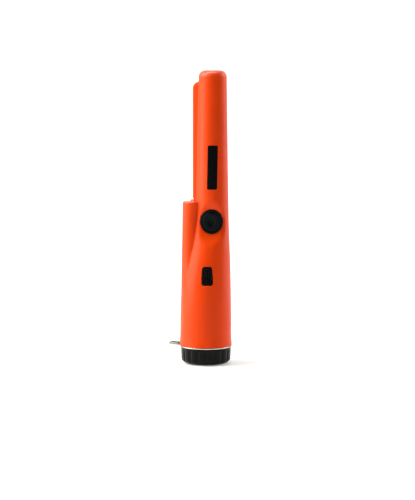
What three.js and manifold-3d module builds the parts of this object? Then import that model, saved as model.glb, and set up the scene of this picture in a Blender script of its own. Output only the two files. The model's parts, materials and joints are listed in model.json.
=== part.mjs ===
// Pinpointer probe: a hand-held metal locator with a one-piece plastic housing, a coil on a ferrite
// rod in its tip, one press button, a lamp, a buzzer and a vibration motor, run by a 9 V battery
// behind a screw cap. A stamped lanyard ring is clamped between the cap and the housing.
//
// Millimetres. The origin is the centre of the cap's flat underside and +Z runs up to the tip.
// The button faces -Y. The scraping blade and the lamp hump are on the -X side.

import * as THREE from 'three';
import { mergeVertices } from 'three/addons/utils/BufferGeometryUtils.js';
import Module from 'manifold-3d';

const wasm = await Module();
wasm.setup();

// ---------- driving dimensions ----------

const GAP = 0.3;                 // clearance between neighbouring pieces
const TOTAL_HEIGHT = 232.5;
const HANDLE_RADIUS = 20.55;
const WALL = 2.6;                // housing wall
const ROUND_SEGMENTS = 40;       // facets round the handle and the cap
const HUMP_SEGMENTS = 28;
const CAVITY_SEGMENTS = 32;
const SMALL_SEGMENTS = 20;       // facets round small pieces

const CAP_HEIGHT = 13.4;         // grip part of the screw cap
const CAP_TOP_RADIUS = 19.9;
const CAP_FOOT_RADIUS = 19.55;
const CAP_FOOT_ROUND_WIDTH = 7.2;
const CAP_FOOT_ROUND_HEIGHT = 4.6;
const CAP_FOOT_STEPS = 6;        // facets round the rounded foot
const CAP_FLOOR = 3;             // thickness of the cap's end wall
const CAP_TOP_CHAMFER = 0.5;
const FLUTE_COUNT = 18;
const FLUTE_RADIUS = 3;
const FLUTE_DEPTH = 0.5;
const FLUTE_TOP_GAP = 1.4;       // plain rim left above the flutes

const PLUG_RADIUS = 16.9;        // plain part of the cap's threaded plug
const PLUG_BORE = 15.5;
const PLUG_TOP = 25.1;

const THREAD_PITCH = 3;
const THREAD_HEIGHT = 0.75;      // how far the cap's thread stands out of its plug
const THREAD_ROOT_WIDTH = 1.5;
const THREAD_CREST_WIDTH = 0.7;
const THREAD_START = 19.2;       // middle of the thread's first turn
const THREAD_TURNS = 1.6;
const THREAD_STEPS_PER_TURN = 28;

const RING_BOTTOM = CAP_HEIGHT + 0.25;
const RING_THICKNESS = 0.8;
const RING_RADIUS = 20.5;
const RING_BORE = 17.95;
const EAR_ANGLE = 153;           // degrees from +X, to the left and rear
const EAR_HOLE_AT = 29.1;
const EAR_HOLE_RADIUS = 2.1;
const EAR_TIP_RADIUS = 3.6;
const EAR_TIP_HALF_ANGLE = 68;   // degrees, where the tip's arc meets the ear's straight sides
const EAR_BASE_HALF_ANGLE = 18;  // degrees
const EAR_FOLD_START = 22.4;     // the ear is folded back on itself from its tip to here
const EAR_FOLD_HALF_WIDTH = 5;   // at that end
const EAR_FOLD_THICKNESS = 0.9;

const HOUSING_BOTTOM = RING_BOTTOM + RING_THICKNESS + 0.25;
const SEAL_BORE = 18.8;          // smooth counterbore that the O-ring seals in
const SEAL_TOP = 18.2;
const SEAL_Z = 16.1;             // middle of the O-ring
const SEAL_SECTION_RADIUS = 0.65;
const THREAD_BORE = PLUG_RADIUS + 0.35;
const THREAD_ZONE_TOP = 26.1;
const TIP_FILLET = 5;
const TIP_WALL = 3;
const TIP_INNER_FILLET = 3;

// Outline of the round body, from the mouth to the tip: its radius, and the x of its right side.
const BODY_SECTIONS = [
  { z: HOUSING_BOTTOM, right: 20.75, radius: 20.95 },
  { z: 19.5, right: 20.37, radius: HANDLE_RADIUS },
  { z: 34, right: 20.16, radius: 20.28 },
  { z: 50, right: 19.99, radius: 19.95 },
  { z: 60, right: 19.8, radius: 19.35 },
  { z: 70, right: 19.55, radius: 18.5 },
  { z: 86, right: 19.15, radius: 16.6 },
  { z: 94, right: 18.77, radius: 15.5 },
  { z: 102, right: 18.43, radius: 14.55 },
  { z: 114, right: 18.06, radius: 13.4 },
  { z: 130, right: 17.76, radius: 12.8 },
  { z: 180, right: 17.05, radius: 11.85 },
  { z: 222, right: 16.5, radius: 11.2 },
  { z: TOTAL_HEIGHT, right: 16.4, radius: 11.05 },
];

// Outline of the lamp hump on the left side: its radius, and the x of its left side.
const HUMP_TOP = 129.2;
const HUMP_FILLET = 1;
const HUMP_SECTIONS = [
  { z: 36, left: -19.6, radius: 18.9 },
  { z: 46, left: -19.8, radius: 18.5 },
  { z: 56, left: -19.75, radius: 16.1 },
  { z: 63, left: -19.62, radius: 13.3 },
  { z: 70, left: -19.48, radius: 11.2 },
  { z: 80, left: -19.32, radius: 9.1 },
  { z: 92, left: -19.1, radius: 8.1 },
  { z: 106, left: -18.8, radius: 7.7 },
  { z: HUMP_TOP, left: -18.4, radius: 8.2 },
];

const BLADE_EDGE_X = -10.5;
const BLADE_TOP = 223.6;
const BLADE_CORNER = 5.3;
const BLADE_EDGE_THICKNESS = 2.6;
const BLADE_ROOT_THICKNESS = 9;
const BLADE_ROOT_X = -3;

const LED_X = -11;
const LED_RADIUS = 1.5;
const LED_RISE = 0.3;            // straight part of the lens above the hump
const LED_FLANGE_RADIUS = 1.9;

const BUTTON_X = 4.35;
const BUTTON_Z = 113.9;
const BUTTON_OVAL = 1.1;         // height of the button and its bezel over their width
const BUTTON_RADIUS = 6.9;
const BUTTON_FLANGE_RADIUS = 8;
const BUTTON_FLANGE_THICKNESS = 0.6;
const BUTTON_STEM_RADIUS = 2.4;
const BUTTON_FACE_Y = -11.4;
const BEZEL_RADIUS = 8.8;
const BEZEL_SKIRT_RADIUS = 8.3;
const BEZEL_FACE_Y = -10.6;
const BUTTON_SEAT_Y = -7.4;      // floor of the pocket that holds the bezel
const BUTTON_WALL_Y = -5.6;      // inner face of the thickened wall behind the button
const BUTTON_WALL_HALF = 18;     // how far that wall reaches above and below the button
const BUTTON_TRAVEL = 0.8;
const SWITCH_HALF = 6;
const SWITCH_FRONT_Y = -2.4;
const PLUNGER_RADIUS = 1.8;
const DISH_FLOOR_Y = -8.9;       // deepest line of the scoop round the button
const DISH_RADIUS = 29;

const GRILLE_X = 1;
const GRILLE_Z = 71.5;
const GRILLE_WIDTH = 8.8;
const GRILLE_HEIGHT = 14.5;
const GRILLE_CORNER = 2;
const GRILLE_DEPTH = 1.8;
const GRILLE_SINK = 0.1;         // how far the grille's face lies under the housing's surface
const GRILLE_SLOTS = [-2.7, -0.9, 0.9, 2.7];
const GRILLE_SLOT_WIDTH = 0.8;
const GRILLE_SLOT_HEIGHT = 10.5;

const LABEL_X = 5.05;
const LABEL_Z = 156.6;
const LABEL_WIDTH = 7.9;
const LABEL_HEIGHT = 34.5;
const LABEL_CORNER = 1;
const LABEL_THICKNESS = 0.35;
const FRONT_CUT_Y = -6;          // windows are cut from here outwards

const BUZZER_RADIUS = 7;
const BUZZER_FRONT_Y = -13.1;
const BUZZER_THICKNESS = 4.5;
const BUZZER_SEAT_Y = -10.5;

const BOARD_X = 5.2;             // middle of the circuit board, the coil and the chassis
const BOARD_WIDTH = 16;
const BOARD_FRONT_Y = 1;
const BOARD_THICKNESS = 1.6;
const BOARD_BOTTOM = 64;
const BOARD_TOP = 160;
const SCREW_INSET = 6;           // from each end of the board to its screw
const PART_FACE_Y = BOARD_FRONT_Y - GAP;   // where parts on the board's front start

const CHASSIS_FRONT_Y = 4.8;
const CHASSIS_THICKNESS = 1.6;
const CHASSIS_DECK_Z = 59.5;     // middle of the deck above the battery
const CHASSIS_DECK_RADIUS = 15.4;
const BOSS_RADIUS = 2.4;
const SCREW_HOLE_RADIUS = 1.3;
const COIL_REST_Z = 168;

const ROD_RADIUS = 3.9;
const FORMER_BORE = 4.25;
const FORMER_RADIUS = 5;
const FORMER_FLANGE = 7.4;
const FORMER_TOP = 224;
const FORMER_FLANGE_THICKNESS = 1.5;
const COIL_INNER = 5.3;
const COIL_OUTER = 6.9;

const MOTOR_X = -11.2;
const MOTOR_RADIUS = 3;
const MOTOR_BOTTOM = 84;
const MOTOR_TOP = 96;

const BATTERY_WIDTH = 26.5;
const BATTERY_DEPTH = 17.5;
const BATTERY_BOTTOM = 5.1;
const BATTERY_TOP = 51.5;
const TERMINAL_SPACING = 12.7;
const TERMINAL_HEIGHT = 2.1;
const CONNECTOR_THICKNESS = 4.8;

const OUTSIDE = 40;              // a cutting tool's reach beyond the housing

// ---------- materials ----------

function material(color, roughness, metalness = 0) {
  return new THREE.MeshStandardMaterial({ color, roughness, metalness });
}

const LOOKS = {
  orangePlastic: () => material(0xf0521f, 0.42),
  blackPlastic: () => material(0x1b1c1e, 0.5),
  blackRubber: () => material(0x121314, 0.7),
  clearLens: () => material(0xf2f4f6, 0.1),
  steel: () => material(0xd9dadc, 0.25, 1),
  greyPlastic: () => material(0x8c9096, 0.55),
  boardGreen: () => material(0x14532d, 0.45),
  chipBlack: () => material(0x202124, 0.5),
  ferrite: () => material(0x3a3a3d, 0.65, 0.2),
  copper: () => material(0xb8632e, 0.35, 1),
  foam: () => material(0x3b3d40, 0.95),
  redWire: () => material(0xb3151b, 0.45),
  blackWire: () => material(0x18181a, 0.45),
  batteryShell: () => material(0x2b3a55, 0.35, 0.4),
  capacitorSleeve: () => material(0x1f2e66, 0.4),
  capacitorFilm: () => material(0x9c3b1d, 0.4),
};

// ---------- solids ----------

// Turns a closed three.js geometry into a solid, with its faces pointing outwards.
function solidOf(geometry) {
  const bare = geometry.clone();
  bare.deleteAttribute('normal');
  bare.deleteAttribute('uv');
  const merged = mergeVertices(bare, 1e-4);
  const positions = merged.attributes.position.array;
  const corner = (i) => new THREE.Vector3().fromArray(positions, 3 * i);
  const triangles = [];
  let volume = 0;
  for (let i = 0; i < merged.index.count; i += 3) {
    const [a, b, c] = [0, 1, 2].map((k) => merged.index.getX(i + k));
    if (a !== b && b !== c && c !== a) {
      triangles.push([a, b, c]);
      volume += corner(a).dot(corner(b).cross(corner(c)));
    }
  }
  const outward = volume > 0 ? triangles : triangles.map(([a, b, c]) => [a, c, b]);
  return new wasm.Manifold(new wasm.Mesh({
    numProp: 3,
    vertProperties: new Float32Array(positions),
    triVerts: new Uint32Array(outward.flat()),
  }));
}

function geometryOf(solid) {
  const mesh = solid.getMesh();
  const geometry = new THREE.BufferGeometry();
  geometry.setAttribute('position', new THREE.BufferAttribute(mesh.vertProperties, 3));
  geometry.setIndex(new THREE.BufferAttribute(mesh.triVerts, 1));
  geometry.computeVertexNormals();
  return geometry;
}

function joined(...solids) {
  return solids.reduce((whole, next) => whole.add(next));
}

function cut(solid, ...tools) {
  return tools.reduce((left, tool) => left.subtract(tool), solid);
}

// A round solid about the Z axis from [radius, z] pairs.
function latheZ(profile, segments = SMALL_SEGMENTS) {
  const points = profile.map(([radius, z]) => new THREE.Vector2(radius, z));
  return new THREE.LatheGeometry(points, segments).rotateX(Math.PI / 2);
}

// A round solid about a line along Y through (x, z), from [radius, y] pairs.
function latheY(profile, x, z, segments = SMALL_SEGMENTS) {
  const points = profile.map(([radius, y]) => new THREE.Vector2(radius, y));
  return new THREE.LatheGeometry(points, segments).translate(x, 0, z);
}

function discZ(radius, bottom, top, x = 0, y = 0, segments = SMALL_SEGMENTS) {
  return latheZ([[0, bottom], [radius, bottom], [radius, top], [0, top]], segments)
    .translate(x, y, 0);
}

function discY(radius, back, front, x, z, segments = SMALL_SEGMENTS) {
  return latheY([[0, back], [radius, back], [radius, front], [0, front]], x, z, segments);
}

function ringZ(inner, outer, bottom, top, x = 0, segments = SMALL_SEGMENTS) {
  const profile = [[inner, bottom], [outer, bottom], [outer, top], [inner, top], [inner, bottom]];
  return latheZ(profile, segments).translate(x, 0, 0);
}

function ringY(inner, outer, back, front, x, z, segments = SMALL_SEGMENTS) {
  const profile = [[inner, back], [outer, back], [outer, front], [inner, front], [inner, back]];
  return latheY(profile, x, z, segments);
}

function boxBetween(low, high) {
  const size = high.map((value, i) => value - low[i]);
  const middle = high.map((value, i) => (value + low[i]) / 2);
  return new THREE.BoxGeometry(...size).translate(...middle);
}

function roundedRectangle(width, height, corner) {
  const x = width / 2;
  const y = height / 2;
  const shape = new THREE.Shape();
  shape.moveTo(-x + corner, -y);
  shape.lineTo(x - corner, -y);
  shape.absarc(x - corner, -y + corner, corner, -Math.PI / 2, 0);
  shape.absarc(x - corner, y - corner, corner, 0, Math.PI / 2);
  shape.absarc(-x + corner, y - corner, corner, Math.PI / 2, Math.PI);
  shape.absarc(-x + corner, -y + corner, corner, Math.PI, 1.5 * Math.PI);
  return shape;
}

// A rounded block that stands along Y in front of the body, to cut windows and plates with.
function windowBlock(width, height, corner, x, z, back, front) {
  const shape = roundedRectangle(width, height, corner);
  const settings = { depth: back - front, bevelEnabled: false, curveSegments: 3 };
  return new THREE.ExtrudeGeometry(shape, settings)
    .rotateX(Math.PI / 2)
    .translate(x, back, z);
}

// A wire along a smooth curve through the given points.
function wire(points, radius, steps = 16) {
  const path = new THREE.CatmullRomCurve3(points.map((p) => new THREE.Vector3(...p)));
  const section = new THREE.Shape();
  section.absarc(0, 0, radius, 0, 2 * Math.PI);
  const settings = { steps, extrudePath: path, bevelEnabled: false, curveSegments: 3 };
  return new THREE.ExtrudeGeometry(section, settings);
}

// A bar of the given section wrapped into a right-hand helix about Z. The section's first number
// is the radius and its second is the height along Z.
function helix(section, firstZ, turns) {
  const shape = new THREE.Shape(section.map(([radius, height]) => new THREE.Vector2(radius, height)));
  const steps = Math.ceil(turns * THREAD_STEPS_PER_TURN);
  const bar = new THREE.ExtrudeGeometry(shape, { depth: turns, steps, bevelEnabled: false });
  const position = bar.attributes.position;
  for (let i = 0; i < position.count; i += 1) {
    const turn = position.getZ(i);
    const angle = 2 * Math.PI * (turn + firstZ / THREAD_PITCH);
    const z = firstZ + THREAD_PITCH * turn - position.getY(i);
    const radius = position.getX(i);
    position.setXYZ(i, radius * Math.cos(angle), radius * Math.sin(angle), z);
  }
  return bar;
}

// ---------- leaning round bodies ----------

// Rings of a body whose middle drifts sideways as it rises, on a smooth curve through its sections.
function bodyRings(sections, middleOf, count) {
  const points = sections.map((s) => new THREE.Vector3(s.radius, middleOf(s), s.z));
  const curve = new THREE.CatmullRomCurve3(points, false, 'centripetal');
  return curve.getPoints(count).map((p) => ({ radius: p.x, middle: p.y, z: p.z }));
}

// Rounds the last ring over into a flat end at the given height.
function roundedEnd(rings, top, fillet) {
  const below = rings.filter((ring) => ring.z < top - fillet - 0.5);
  const last = ringAt(rings, top - fillet);
  const steps = 3;
  for (let i = 0; i <= steps; i += 1) {
    const angle = (i / steps) * (Math.PI / 2);
    below.push({
      radius: last.radius - fillet + fillet * Math.cos(angle),
      middle: last.middle,
      z: top - fillet + fillet * Math.sin(angle),
    });
  }
  return below;
}

function ringAt(rings, z) {
  let i = 1;
  while (i < rings.length - 1 && rings[i].z < z) {
    i += 1;
  }
  const [low, high] = [rings[i - 1], rings[i]];
  const t = (z - low.z) / (high.z - low.z);
  return {
    radius: THREE.MathUtils.lerp(low.radius, high.radius, t),
    middle: THREE.MathUtils.lerp(low.middle, high.middle, t),
    z,
  };
}

// The closed solid through a set of rings, grown by the given amount.
function leaningSolid(rings, growth, segments) {
  const profile = rings.map((ring) => [ring.radius + growth, ring.z]);
  const last = rings.length - 1;
  const geometry = latheZ([[0, rings[0].z], ...profile, [0, rings[last].z]], segments);
  const position = geometry.attributes.position;
  for (let i = 0; i < position.count; i += 1) {
    position.setX(i, position.getX(i) + ringAt(rings, position.getZ(i)).middle);
  }
  return solidOf(geometry);
}

const middleFromRight = (section) => section.right - section.radius;
const middleFromLeft = (section) => section.left + section.radius;
const bodyCurve = bodyRings(BODY_SECTIONS, middleFromRight, 20);
const humpCurve = bodyRings(HUMP_SECTIONS, middleFromLeft, 11);
const cavityCurve = bodyRings(BODY_SECTIONS, middleFromRight, 11);
const outerRings = roundedEnd(bodyCurve, TOTAL_HEIGHT, TIP_FILLET);
const humpRings = roundedEnd(humpCurve, HUMP_TOP, HUMP_FILLET);

// ---------- housing ----------

// A plate with one rounded corner, which thickens from its outer edge to its root.
function bladeSolid() {
  const shape = new THREE.Shape();
  shape.moveTo(BLADE_ROOT_X, HUMP_TOP - 2);
  shape.lineTo(BLADE_EDGE_X, HUMP_TOP - 2);
  shape.lineTo(BLADE_EDGE_X, BLADE_TOP - BLADE_CORNER);
  shape.absarc(BLADE_EDGE_X + BLADE_CORNER, BLADE_TOP - BLADE_CORNER, BLADE_CORNER,
    Math.PI, Math.PI / 2, true);
  shape.lineTo(BLADE_ROOT_X, BLADE_TOP);
  const plate = new THREE.ExtrudeGeometry(shape, {
    depth: BLADE_ROOT_THICKNESS, bevelEnabled: false, curveSegments: 6,
  }).rotateX(Math.PI / 2).translate(0, BLADE_ROOT_THICKNESS / 2, 0);
  const section = new THREE.Shape();
  section.moveTo(BLADE_EDGE_X, -BLADE_EDGE_THICKNESS / 2);
  section.lineTo(BLADE_ROOT_X, -BLADE_ROOT_THICKNESS / 2);
  section.lineTo(BLADE_ROOT_X, BLADE_ROOT_THICKNESS / 2);
  section.lineTo(BLADE_EDGE_X, BLADE_EDGE_THICKNESS / 2);
  const wedge = new THREE.ExtrudeGeometry(section, { depth: TOTAL_HEIGHT, bevelEnabled: false });
  return solidOf(plate).intersect(solidOf(wedge));
}

function threadSection(grow) {
  const inside = PLUG_RADIUS - 0.4;
  const crest = PLUG_RADIUS + THREAD_HEIGHT + grow;
  const rootHalf = THREAD_ROOT_WIDTH / 2 + grow;
  const crestHalf = THREAD_CREST_WIDTH / 2 + grow;
  return [[inside, -rootHalf], [PLUG_RADIUS, -rootHalf], [crest, -crestHalf],
    [crest, crestHalf], [PLUG_RADIUS, rootHalf], [inside, rootHalf]];
}

function threadGroove() {
  const first = THREAD_START - THREAD_PITCH;
  const turns = (THREAD_ZONE_TOP - GAP - THREAD_ROOT_WIDTH / 2 - first) / THREAD_PITCH;
  return solidOf(helix(threadSection(GAP), first, turns));
}

// The hollow inside: round in the body and the hump, and flat behind the button, where the wall is
// thick. A ring is left standing round the buzzer.
function cavitySolid() {
  const bodyTop = roundedEnd(cavityCurve, TOTAL_HEIGHT - TIP_WALL, TIP_INNER_FILLET);
  const aboveThread = bodyTop.filter((ring) => ring.z > THREAD_ZONE_TOP + 1);
  const start = ringAt(bodyTop, THREAD_ZONE_TOP);
  const neck = { radius: THREAD_BORE - 1 + WALL, middle: 0, z: THREAD_ZONE_TOP - 1.5 };
  const body = leaningSolid([neck, start, ...aboveThread], -WALL, CAVITY_SEGMENTS);
  const humpInner = roundedEnd(humpCurve, HUMP_TOP - WALL, HUMP_FILLET);
  const hump = leaningSolid(humpInner, -WALL, SMALL_SEGMENTS);
  const wallBehindButton = solidOf(boxBetween(
    [-OUTSIDE, -OUTSIDE, BUTTON_Z - BUTTON_WALL_HALF],
    [OUTSIDE, BUTTON_WALL_Y, BUTTON_Z + BUTTON_WALL_HALF]));
  const buzzerSeat = solidOf(ringY(BUZZER_RADIUS + GAP, BUZZER_RADIUS + 1.5, BUZZER_SEAT_Y, -OUTSIDE,
    GRILLE_X, GRILLE_Z, 28));
  return cut(joined(body, hump), wallBehindButton, buzzerSeat);
}

// A round hole along Y that is as much taller than wide as the button is.
function ovalHole(radius, back) {
  return solidOf(oval(discY(radius, back, -OUTSIDE, 0, 0, 32)));
}

// Stretches a round shape about the origin's Y axis and moves it to the button's place.
function oval(geometry) {
  return geometry.scale(1, 1, BUTTON_OVAL).translate(BUTTON_X, 0, BUTTON_Z);
}

function housingSolid() {
  const shell = joined(leaningSolid(outerRings, 0, ROUND_SEGMENTS),
    leaningSolid(humpRings, 0, HUMP_SEGMENTS), bladeSolid());
  const dish = solidOf(new THREE.CylinderGeometry(DISH_RADIUS, DISH_RADIUS, 2 * OUTSIDE, 64)
    .rotateZ(Math.PI / 2)
    .translate(BUTTON_X, DISH_FLOOR_Y - DISH_RADIUS, BUTTON_Z));
  const bezelPocket = ovalHole(BEZEL_RADIUS + GAP, BUTTON_SEAT_Y);
  const buttonHole = ovalHole(BUTTON_RADIUS + 0.4, 0);
  const below = HOUSING_BOTTOM - 1;
  const sealBore = solidOf(discZ(SEAL_BORE, below, SEAL_TOP, 0, 0, ROUND_SEGMENTS));
  const threadBore = solidOf(discZ(THREAD_BORE, below, THREAD_ZONE_TOP, 0, 0, ROUND_SEGMENTS));
  const ledHole = solidOf(discZ(LED_RADIUS + GAP, HUMP_TOP - 2 * WALL,
    HUMP_TOP + LED_RISE + LED_RADIUS + 1, LED_X));
  const grilleWindow = solidOf(windowBlock(GRILLE_WIDTH + 2 * GAP, GRILLE_HEIGHT + 2 * GAP,
    GRILLE_CORNER, GRILLE_X, GRILLE_Z, FRONT_CUT_Y, -OUTSIDE));
  const labelBlock = solidOf(windowBlock(LABEL_WIDTH + 2 * GAP, LABEL_HEIGHT + 2 * GAP,
    LABEL_CORNER + GAP, LABEL_X, LABEL_Z, FRONT_CUT_Y, -OUTSIDE));
  const labelFloor = leaningSolid(outerRings, -LABEL_THICKNESS - GAP, ROUND_SEGMENTS);
  return cut(shell, cavitySolid(), dish, bezelPocket, buttonHole, sealBore, threadBore,
    threadGroove(), ledHole, grilleWindow, labelBlock.subtract(labelFloor));
}

function labelSolid() {
  const block = solidOf(windowBlock(LABEL_WIDTH, LABEL_HEIGHT, LABEL_CORNER, LABEL_X, LABEL_Z,
    FRONT_CUT_Y, -OUTSIDE));
  const plate = block.intersect(leaningSolid(outerRings, 0, ROUND_SEGMENTS));
  return plate.subtract(leaningSolid(outerRings, -LABEL_THICKNESS, ROUND_SEGMENTS));
}

function grilleSolid() {
  const block = solidOf(windowBlock(GRILLE_WIDTH, GRILLE_HEIGHT, GRILLE_CORNER, GRILLE_X, GRILLE_Z,
    FRONT_CUT_Y, -OUTSIDE));
  const plate = block.intersect(leaningSolid(outerRings, -GRILLE_SINK, ROUND_SEGMENTS))
    .subtract(leaningSolid(outerRings, -GRILLE_SINK - GRILLE_DEPTH, ROUND_SEGMENTS));
  const slots = GRILLE_SLOTS.map((offset) => solidOf(
    windowBlock(GRILLE_SLOT_WIDTH, GRILLE_SLOT_HEIGHT, 0.35, GRILLE_X + offset, GRILLE_Z,
      FRONT_CUT_Y, -OUTSIDE)));
  return cut(plate, ...slots);
}

// ---------- button and switch ----------

// The press button: a dimpled pad with a flange that the bezel keeps in, on a stem that reaches
// the switch's plunger.
function buttonSolid() {
  const flangeBack = BUTTON_SEAT_Y - GAP - BUTTON_TRAVEL;
  const flangeFront = flangeBack - BUTTON_FLANGE_THICKNESS;
  const stemEnd = BUTTON_WALL_Y + 0.1;
  const face = BUTTON_FACE_Y;
  return solidOf(oval(latheY([
    [0, stemEnd], [BUTTON_STEM_RADIUS, stemEnd], [BUTTON_STEM_RADIUS, flangeBack + 0.6],
    [BUTTON_FLANGE_RADIUS, flangeBack], [BUTTON_FLANGE_RADIUS, flangeFront],
    [BUTTON_RADIUS, flangeFront], [BUTTON_RADIUS, face + 0.5], [BUTTON_RADIUS - 0.5, face],
    [4.2, face + 0.15], [2.7, face + 0.35], [1.5, face + 0.8], [0, face + 0.95],
  ], 0, 0, 28)));
}

function bezelSolid() {
  const shelf = BUTTON_SEAT_Y - BUTTON_TRAVEL - 2 * GAP - BUTTON_FLANGE_THICKNESS;
  const back = BUTTON_SEAT_Y - GAP;
  const inner = BUTTON_RADIUS + 0.35;
  return solidOf(oval(latheY([
    [BEZEL_SKIRT_RADIUS, back], [BEZEL_RADIUS, back], [BEZEL_RADIUS, BEZEL_FACE_Y + 0.5],
    [BEZEL_RADIUS - 0.5, BEZEL_FACE_Y], [inner + 0.2, BEZEL_FACE_Y], [inner, BEZEL_FACE_Y + 0.2],
    [inner, shelf], [BEZEL_SKIRT_RADIUS, shelf], [BEZEL_SKIRT_RADIUS, back],
  ], 0, 0, 32)));
}

function switchPlungerGeometry() {
  return discY(PLUNGER_RADIUS, BUTTON_WALL_Y + 0.1 + GAP, SWITCH_FRONT_Y + 0.7, BUTTON_X, BUTTON_Z);
}

function switchBodySolid() {
  const block = solidOf(boxBetween(
    [BUTTON_X - SWITCH_HALF, SWITCH_FRONT_Y, BUTTON_Z - SWITCH_HALF],
    [BUTTON_X + SWITCH_HALF, PART_FACE_Y, BUTTON_Z + SWITCH_HALF]));
  const well = discY(PLUNGER_RADIUS + 0.4, -0.6, SWITCH_FRONT_Y - 1, BUTTON_X, BUTTON_Z);
  return block.subtract(solidOf(well));
}

// ---------- cap, thread, ring ----------

function capSolid() {
  const foot = CAP_FOOT_RADIUS;
  const arc = [];
  for (let i = 0; i <= CAP_FOOT_STEPS; i += 1) {
    const angle = (i / CAP_FOOT_STEPS) * (Math.PI / 2);
    arc.push([
      foot - CAP_FOOT_ROUND_WIDTH * (1 - Math.sin(angle)),
      CAP_FOOT_ROUND_HEIGHT * (1 - Math.cos(angle)),
    ]);
  }
  const grip = solidOf(latheZ([
    [0, 0], ...arc, [CAP_TOP_RADIUS, CAP_HEIGHT - CAP_TOP_CHAMFER],
    [CAP_TOP_RADIUS - CAP_TOP_CHAMFER, CAP_HEIGHT], [PLUG_RADIUS, CAP_HEIGHT],
    [PLUG_RADIUS, PLUG_TOP - 0.5], [PLUG_RADIUS - 0.5, PLUG_TOP], [PLUG_BORE, PLUG_TOP],
    [PLUG_BORE, CAP_FLOOR], [0, CAP_FLOOR],
  ], ROUND_SEGMENTS));
  const thread = solidOf(helix(threadSection(0), THREAD_START, THREAD_TURNS));
  const fluteTop = CAP_HEIGHT - FLUTE_TOP_GAP;
  const reach = CAP_FOOT_RADIUS + FLUTE_RADIUS - FLUTE_DEPTH;
  const flutes = [];
  for (let i = 0; i < FLUTE_COUNT; i += 1) {
    const angle = (2 * Math.PI * (i + 0.5)) / FLUTE_COUNT;
    flutes.push(solidOf(discZ(FLUTE_RADIUS, -1, fluteTop, reach * Math.cos(angle),
      reach * Math.sin(angle), 16)));
  }
  return cut(joined(grip, thread), ...flutes);
}

function lanyardRingSolid() {
  const base = THREE.MathUtils.degToRad(EAR_BASE_HALF_ANGLE);
  const side = THREE.MathUtils.degToRad(EAR_TIP_HALF_ANGLE);
  const shape = new THREE.Shape();
  shape.absarc(0, 0, RING_RADIUS, base, 2 * Math.PI - base);
  shape.absarc(EAR_HOLE_AT, 0, EAR_TIP_RADIUS, -side, side);
  const bore = new THREE.Path();
  bore.absarc(0, 0, RING_BORE, 0, 2 * Math.PI);
  const eye = new THREE.Path();
  eye.absarc(EAR_HOLE_AT, 0, EAR_HOLE_RADIUS, 0, 2 * Math.PI);
  shape.holes.push(bore, eye);
  const fold = new THREE.Shape();
  fold.moveTo(EAR_FOLD_START, EAR_FOLD_HALF_WIDTH);
  fold.lineTo(EAR_FOLD_START, -EAR_FOLD_HALF_WIDTH);
  fold.absarc(EAR_HOLE_AT, 0, EAR_TIP_RADIUS, -side, side);
  fold.holes.push(eye);
  const plate = (outline, depth) => solidOf(
    new THREE.ExtrudeGeometry(outline, { depth, bevelEnabled: false, curveSegments: 24 })
      .rotateZ(THREE.MathUtils.degToRad(EAR_ANGLE))
      .translate(0, 0, RING_BOTTOM));
  return joined(plate(shape, RING_THICKNESS), plate(fold, RING_THICKNESS + EAR_FOLD_THICKNESS));
}

function sealRingGeometry() {
  const middle = PLUG_RADIUS + GAP + SEAL_SECTION_RADIUS;
  const sides = 8;
  const profile = [];
  for (let i = 0; i <= sides; i += 1) {
    const angle = (2 * Math.PI * (i % sides)) / sides;
    profile.push([middle + SEAL_SECTION_RADIUS * Math.cos(angle),
      SEAL_Z + SEAL_SECTION_RADIUS * Math.sin(angle)]);
  }
  return latheZ(profile, ROUND_SEGMENTS);
}

// ---------- electronics ----------

const screwHeights = [BOARD_BOTTOM + SCREW_INSET, BOARD_TOP - SCREW_INSET];

function chassisSolid() {
  const half = 6;
  const spine = solidOf(boxBetween([BOARD_X - half, CHASSIS_FRONT_Y, CHASSIS_DECK_Z],
    [BOARD_X + half, CHASSIS_FRONT_Y + CHASSIS_THICKNESS, COIL_REST_Z]));
  const deck = solidOf(discZ(CHASSIS_DECK_RADIUS, CHASSIS_DECK_Z - 1, CHASSIS_DECK_Z + 1, 0.7, 0,
    ROUND_SEGMENTS));
  const leadNotch = solidOf(boxBetween([-8, -OUTSIDE, CHASSIS_DECK_Z - 3],
    [6, -1.5, CHASSIS_DECK_Z + 3]));
  const coilRest = solidOf(discZ(6.8, COIL_REST_Z - 2, COIL_REST_Z, BOARD_X, 0, 32));
  const bosses = screwHeights.map((z) => solidOf(discY(BOSS_RADIUS, CHASSIS_FRONT_Y + 0.5,
    BOARD_FRONT_Y + BOARD_THICKNESS + GAP, BOARD_X, z)));
  const holes = screwHeights.map((z) => solidOf(discY(SCREW_HOLE_RADIUS, CHASSIS_FRONT_Y + 3, 0,
    BOARD_X, z, 14)));
  return cut(joined(cut(deck, leadNotch), spine, coilRest, ...bosses), ...holes);
}

function boardSolid() {
  const board = solidOf(boxBetween([BOARD_X - BOARD_WIDTH / 2, BOARD_FRONT_Y, BOARD_BOTTOM],
    [BOARD_X + BOARD_WIDTH / 2, BOARD_FRONT_Y + BOARD_THICKNESS, BOARD_TOP]));
  const holes = screwHeights.map((z) => solidOf(discY(SCREW_HOLE_RADIUS, CHASSIS_FRONT_Y,
    BOARD_FRONT_Y - 4, BOARD_X, z, 14)));
  return cut(board, ...holes);
}

// Pan-head screw that runs through the board into the chassis.
function screwSolid(z) {
  const head = PART_FACE_Y;
  const body = solidOf(latheY([
    [0, CHASSIS_FRONT_Y + 1], [0.95, CHASSIS_FRONT_Y + 0.5], [0.95, head], [1.9, head],
    [1.9, head - 0.7], [1.3, head - 1.3], [0, head - 1.4],
  ], BOARD_X, z, 14));
  const slots = [[1.1, 0.25], [0.25, 1.1]].map(([x, depth]) => solidOf(
    boxBetween([BOARD_X - x, head - 2, z - depth], [BOARD_X + x, head - 0.9, z + depth])));
  return cut(body, ...slots);
}

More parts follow.
